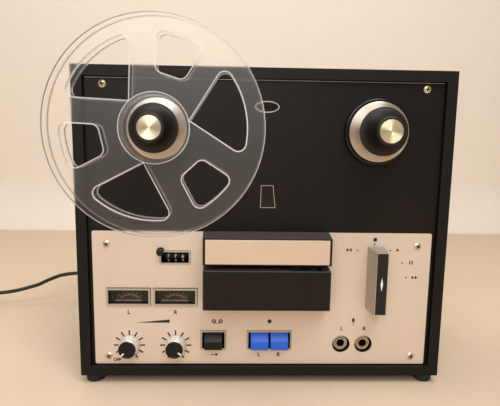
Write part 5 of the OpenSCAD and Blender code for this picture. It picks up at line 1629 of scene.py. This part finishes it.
@dataclass
class Keys:
    """Push keys and the frames round them, in millimetres."""

    rim: float = 1.1
    wrap: float = 0.1
    trim_w: float = 1.2
    trim_z: Flat = (1.25, 2.1)
    window_h: float = 15.3
    flange: float = 2.4
    key_edge: float = 0.6

    def build(self) -> None:
        """Make keys, frames and their bright trims."""
        paint(COVER_PLASTIC, "input_key_frame", "record_key_frame")
        for name, finish, slot in (("input", BLACK_KEY, "gloss_black_plastic"),
                                   ("left_record", BLUE_KEY, "blue_plastic"),
                                   ("right_record", BLUE_KEY, "blue_plastic")):
            node = f"{name}_key"
            Form(f"{name}_key_moulding", finish).node(node).piece(
                f"{name}_button", slot, (node,), bevel=self.key_edge)
        trim = Form("key_trims", TRIM)
        for node in ("input_key_frame", "record_key_frame"):
            low, high = DECK.box(node)
            at = DECK.middle(node)
            w = high.x - low.x - 2 * self.flange + 2 * self.wrap
            h = self.window_h + 2 * self.rim + 2 * self.wrap
            inner = rectangle(w - 2 * self.trim_w, h - 2 * self.trim_w, at, 0.3)
            trim.prism(rectangle(w, h, at, 0.7), *self.trim_z, [list(reversed(inner))])
        trim.piece("cabinet", "silver_trim_plastic", bevel=0.15)


@dataclass
class MicJacks:
    """Two microphone jacks in round recesses, in millimetres."""

    bore_r: float = 3.25
    nose_r: float = 4.9
    nut_r: float = 7.0
    nut_h: float = 1.4
    nose_h: float = 2.0
    edge: float = 0.9
    plate: float = -3.4
    film: float = 0.03

    def build(self) -> None:
        """Make the dark recesses and the bright nuts and noses."""
        paint(COVER_PLASTIC, "mic_jacks")
        places = [((low.x + high.x) / 2, (low.y + high.y) / 2, self.plate, 0)
                  for low, high in islands(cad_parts["mic_jacks"].data)]
        h, t, edge = self.nut_h, self.film, self.edge
        r = self.nut_r + t
        nut = Form("nut", NICKEL)
        nut.lathe([(self.nose_r + t, t), (r, t), (r, h - edge), *arc((r - edge, h - edge), edge, 0, 90, 5),
                   (self.nose_r + t, h + t)], steps=48, ring=True)
        nose = Form("nose", NICKEL)
        nose.lathe([(self.bore_r, t), (self.nose_r, t), (self.nose_r, self.nose_h - 0.3),
                    (self.nose_r - 0.4, self.nose_h + t), (self.bore_r + 0.5, self.nose_h + t),
                    (self.bore_r, self.nose_h - 0.4)], steps=48, ring=True)
        Scatter.piece("mic_jack_nuts", nut, places, "cabinet", "nickel_brass")
        Scatter.piece("mic_jack_noses", nose, places, "cabinet", "nickel_brass")


@dataclass
class FunctionLever:
    """The long function lever with its black insert and a plain white mark, in millimetres."""

    edge: float = 0.5
    mark: Flat = (2.2, 12.0)
    film: float = 0.05

    def build(self) -> None:
        """Make the lever, its insert and the mark."""
        Form("lever_cap", LEVER_METAL, TRIM).node("function_lever").piece(
            "lever", "silver_aluminium", ("function_lever",), bevel=self.edge, worn=True)
        Form("lever_face", GLOSS_PLASTIC).node("lever_insert").piece(
            "lever", "gloss_black_plastic", ("lever_insert",), bevel=0.2)
        high = DECK.box("lever_insert")[1]
        at = DECK.middle("lever_insert")
        w, h = self.mark[0] / 2, self.mark[1] / 2
        lozenge = [(at.x, at.y - h), (at.x + w, at.y), (at.x, at.y + h), (at.x - w, at.y)]
        Form("lever_mark", WHITE_INK).prism(lozenge, high.z, high.z + self.film).piece(
            "lever", "silver_trim_plastic")
        paint(ZINC, "lever_cam")


@dataclass
class FrontSheets:
    """Deck plate and control panel with their plain printed marks and bare plates, in millimetres."""

    panel: float = 1.2
    film: float = 0.04
    # Width of the bright strip on the deck plate's top edge, a painted highlight
    edge_line: float = 0.4
    tick: Flat = (1.35, 4.4)
    tick_r: float = 11.8
    # The lever's stops and the signs beside them
    stops: tuple[Flat, ...] = ((83.4, 116.1), (98.3, 121.6), (112.6, 116.3), (123.7, 105.0), (128.0, 91.6))
    dot_r: float = 0.7
    arrow_l: float = 2.6
    rewind_x: Flat = (74.0, 76.9)
    forward_x: Flat = (134.4, 137.3)
    wind_y: Flat = (116.4, 91.6)
    stop_at: Flat = (98.7, 125.8)
    stop_w: float = 3.2
    play_at: Flat = (119.4, 116.6)
    pause_x: Flat = (130.8, 132.8)
    pause_y: float = 105.4
    pause_bar: Flat = (1.1, 3.4)
    # Letters and signs of the other controls
    channel_letters: tuple[tuple[str, Flat], ...] = (
        ("L", (-118.4, 58.2)), ("R", (-77.2, 58.2)), ("L", (-2.2, 18.6)), ("R", (15.4, 18.6)),
        ("L", (72.3, 43.6)), ("R", (92.8, 43.6)))
    letter_h: float = 5.0
    off_at: Flat = (-129.6, 13.5)
    off_h: float = 4.0
    bold: float = 0.16
    wedge: tuple[Flat, ...] = ((-112.0, 48.6), (-82.4, 48.6), (-82.4, 51.6))
    sign_y: float = 50.2
    sign_r: float = 1.9
    spool_x: Flat = (-43.0, -37.0)
    record_x: float = 6.9
    input_at: Flat = (-41.6, 18.6)
    microphone_at: Flat = (82.6, 51.6)
    # Bare plates on the deck
    oval_at: Flat = (1.1, 239.2)
    oval_half: Flat = (10.4, 4.9)
    oval_rim: float = 0.9
    label: tuple[Flat, ...] = ((-3.5, 153.0), (9.9, 153.0), (7.7, 172.7), (-2.9, 172.7))
    label_line: float = 0.5

    def build(self) -> None:
        """Dress both sheets, print the panel's marks and set the two bare plates."""
        self.sheets()
        self.knob_scales()
        self.lever_stops()
        self.letters()
        self.plates()

    def sheets(self) -> None:
        """Dress the deck plate, give the control panel its bright rounded edge and lay a painted highlight
        along the deck plate's top edge.
        """
        paint(DECK_ENAMEL, "deck_plate")
        # The panel's rounded edges take the bare edge finish, which is partly a painted highlight
        Form("panel_sheet", CHAMPAGNE, CUT_EDGE_HIGHLIGHT).node("control_panel").piece(
            "cabinet", "champagne_aluminium", ("control_panel",), bevel=0.35, worn=True)
        # A thin bright strip along the deck plate's top edge is a painted highlight
        low, high = DECK.box("deck_plate")
        line = self.edge_line
        highlight_strip = rectangle(high.x - low.x - 2 * line, line, (0, high.y - line))
        Form("deck_edge_line", CUT_EDGE_HIGHLIGHT).prism(highlight_strip, -0.2, 0.3).piece(
            "cabinet", "champagne_aluminium", bevel=0.1)

    def knob_scales(self) -> None:
        """Print ticks round both volume knobs."""
        tick = Form("tick", BLACK_INK).prism(rectangle(*self.tick), 0, self.film)
        places = []
        for side in ("left", "right"):
            at = DECK.middle(f"{side}_volume_knob")
            for i in range(11):
                lean = math.radians(30 * i - 150)
                places.append((at.x + self.tick_r * math.sin(lean), at.y + self.tick_r * math.cos(lean),
                               self.panel, -math.degrees(lean)))
        Scatter.piece("volume_ticks", tick, places, "cabinet", "black_plastic")

    def lever_stops(self) -> None:
        """Print a dot at each stop of the lever and a transport sign beside it."""
        dot = Form("dot", BLACK_INK).prism(arc((0, 0), self.dot_r, 0, 345, 23), 0, self.film)
        places = [(x, y, self.panel, 0) for x, y in self.stops]
        Scatter.piece("lever_stop_dots", dot, places, "cabinet", "black_plastic")
        signs = Form("transport_signs", BLACK_INK)
        for x in self.rewind_x:
            self.arrow(signs, x, self.wind_y[0], -1)
        self.lay(signs, rectangle(self.stop_w, self.stop_w, self.stop_at))
        self.arrow(signs, *self.play_at, 1)
        for x in self.pause_x:
            self.lay(signs, rectangle(*self.pause_bar, (x, self.pause_y)))
        for x in self.forward_x:
            self.arrow(signs, x, self.wind_y[1], 1)
        signs.piece("cabinet", "black_plastic")

    def lay(self, ink: Form, outline: Sequence[Flat], holes: Sequence[Sequence[Flat]] = ()) -> None:
        """Lay one outline of ink on the panel."""
        ink.prism(outline, self.panel, self.panel + self.film, holes)

    def arrow(self, ink: Form, x: float, y: float, way: int) -> None:
        """Print one arrowhead.

        Args:
            ink: Form that takes the print.
            x: Its middle across the panel.
            y: Its middle up the panel.
            way: 1 if it points to the right, -1 to the left.
        """
        back = x - way * self.arrow_l / 2
        half = way * self.arrow_l * 0.6
        self.lay(ink, [(back, y - half), (x + way * self.arrow_l / 2, y), (back, y + half)])

    def letters(self) -> None:
        """Print channel letters, the volume scale's end and plain signs for tape, record and microphone."""
        ink = Form("panel_letters", BLACK_INK)
        z0, z1 = self.panel, self.panel + self.film
        for word, at in self.channel_letters:
            ink.words(word, self.letter_h, at, z0, z1, self.bold)
        ink.words("OFF", self.off_h, self.off_at, z0, z1, self.bold)
        self.lay(ink, self.wedge)
        for x in self.spool_x:
            spool = (x, self.sign_y)
            hole = list(reversed(arc(spool, 0.8, 0, 340, 17)))
            self.lay(ink, arc(spool, self.sign_r, 0, 345, 23), [hole])
        # The tape lies a hair above the spools, so that no two faces share a plane
        lift = 0.001
        tape = rectangle(6.0, 0.5, (sum(self.spool_x) / 2, self.sign_y - 1.8))
        ink.prism(tape, z0 + lift, z1 + lift)
        x, y = self.input_at
        self.lay(ink, [(x, y - 1.6), (x + 2.8, y), (x, y + 1.6)])
        self.lay(ink, rectangle(3.4, 0.8, (x - 2.2, y)))
        self.lay(ink, arc((self.record_x, self.sign_y), self.sign_r, 0, 345, 23))
        x, y = self.microphone_at
        self.lay(ink, rectangle(2.4, 4.0, (x, y), 1.1))
        self.lay(ink, rectangle(0.6, 2.6, (x, y - 3.5)))
        ink.piece("cabinet", "black_plastic")

    def oval(self, inset: float = 0.0) -> list[Flat]:
        """Outline of the oval plate, drawn in by an inset."""
        half_w, half_h = self.oval_half[0] - inset, self.oval_half[1] - inset
        return [(self.oval_at[0] + half_w * math.cos(a), self.oval_at[1] + half_h * math.sin(a))
                for a in (math.tau * k / 48 for k in range(48))]

    def plates(self) -> None:
        """Set a bare oval plate and a bare label on the deck."""
        inner = self.oval(self.oval_rim)
        Form("oval_plate_rim", TRIM).prism(self.oval(), 0, 0.6, [list(reversed(inner))]).piece(
            "cabinet", "silver_trim_plastic", bevel=0.15)
        Form("oval_plate", GLOSS_PLASTIC).prism(grown(inner, -0.03), 0, 0.4).piece(
            "cabinet", "silver_trim_plastic")
        sheet = list(reversed(grown(self.label, -self.label_line)))
        Form("label_border", TRIM).prism(self.label, 0, 0.12, [sheet]).piece("cabinet", "silver_trim_plastic")
        Form("label_sheet", GLOSS_PLASTIC).prism(grown(self.label, -self.label_line - 0.02), 0, 0.1).piece(
            "cabinet", "black_plastic")


def inner_works() -> None:
    """Dress the pieces that only show through slots or from behind."""
    paint(ZINC, "transport_chassis", "volume_pots")
    paint(BRONZE, "shaft_bearings", "motor_pulley")
    paint(MOTOR_ENAMEL, "drive_motor")
    paint(RUBBER, "drive_belt")
    paint(IRON, "power_transformer")
    paint(BOARD, "amplifier_board")


def main() -> None:
    """Build the scene piece by piece."""
    logging.basicConfig(level=logging.INFO, format="%(name)s %(message)s")
    bpy.context.scene.view_settings.view_transform = "Standard"
    Studio().build()
    MainsLead().build()
    inner_works()
    Cabinet().build()
    for side, spindle in zip(("supply", "takeup"), SPINDLES):
        ReelDrive(side, f"{side}_side", spindle).build()
    Reel("supply_side", SPINDLES[0]).build()
    HeadCovers().build()
    Meters().build()
    Counter().build()
    for side, pointer_at in (("left", -136.0), ("right", 124.0)):
        VolumeKnob(side, pointer_at).build()
    Keys().build()
    MicJacks().build()
    FunctionLever().build()
    FrontSheets().build()


if __name__ == "__main__":
    main()
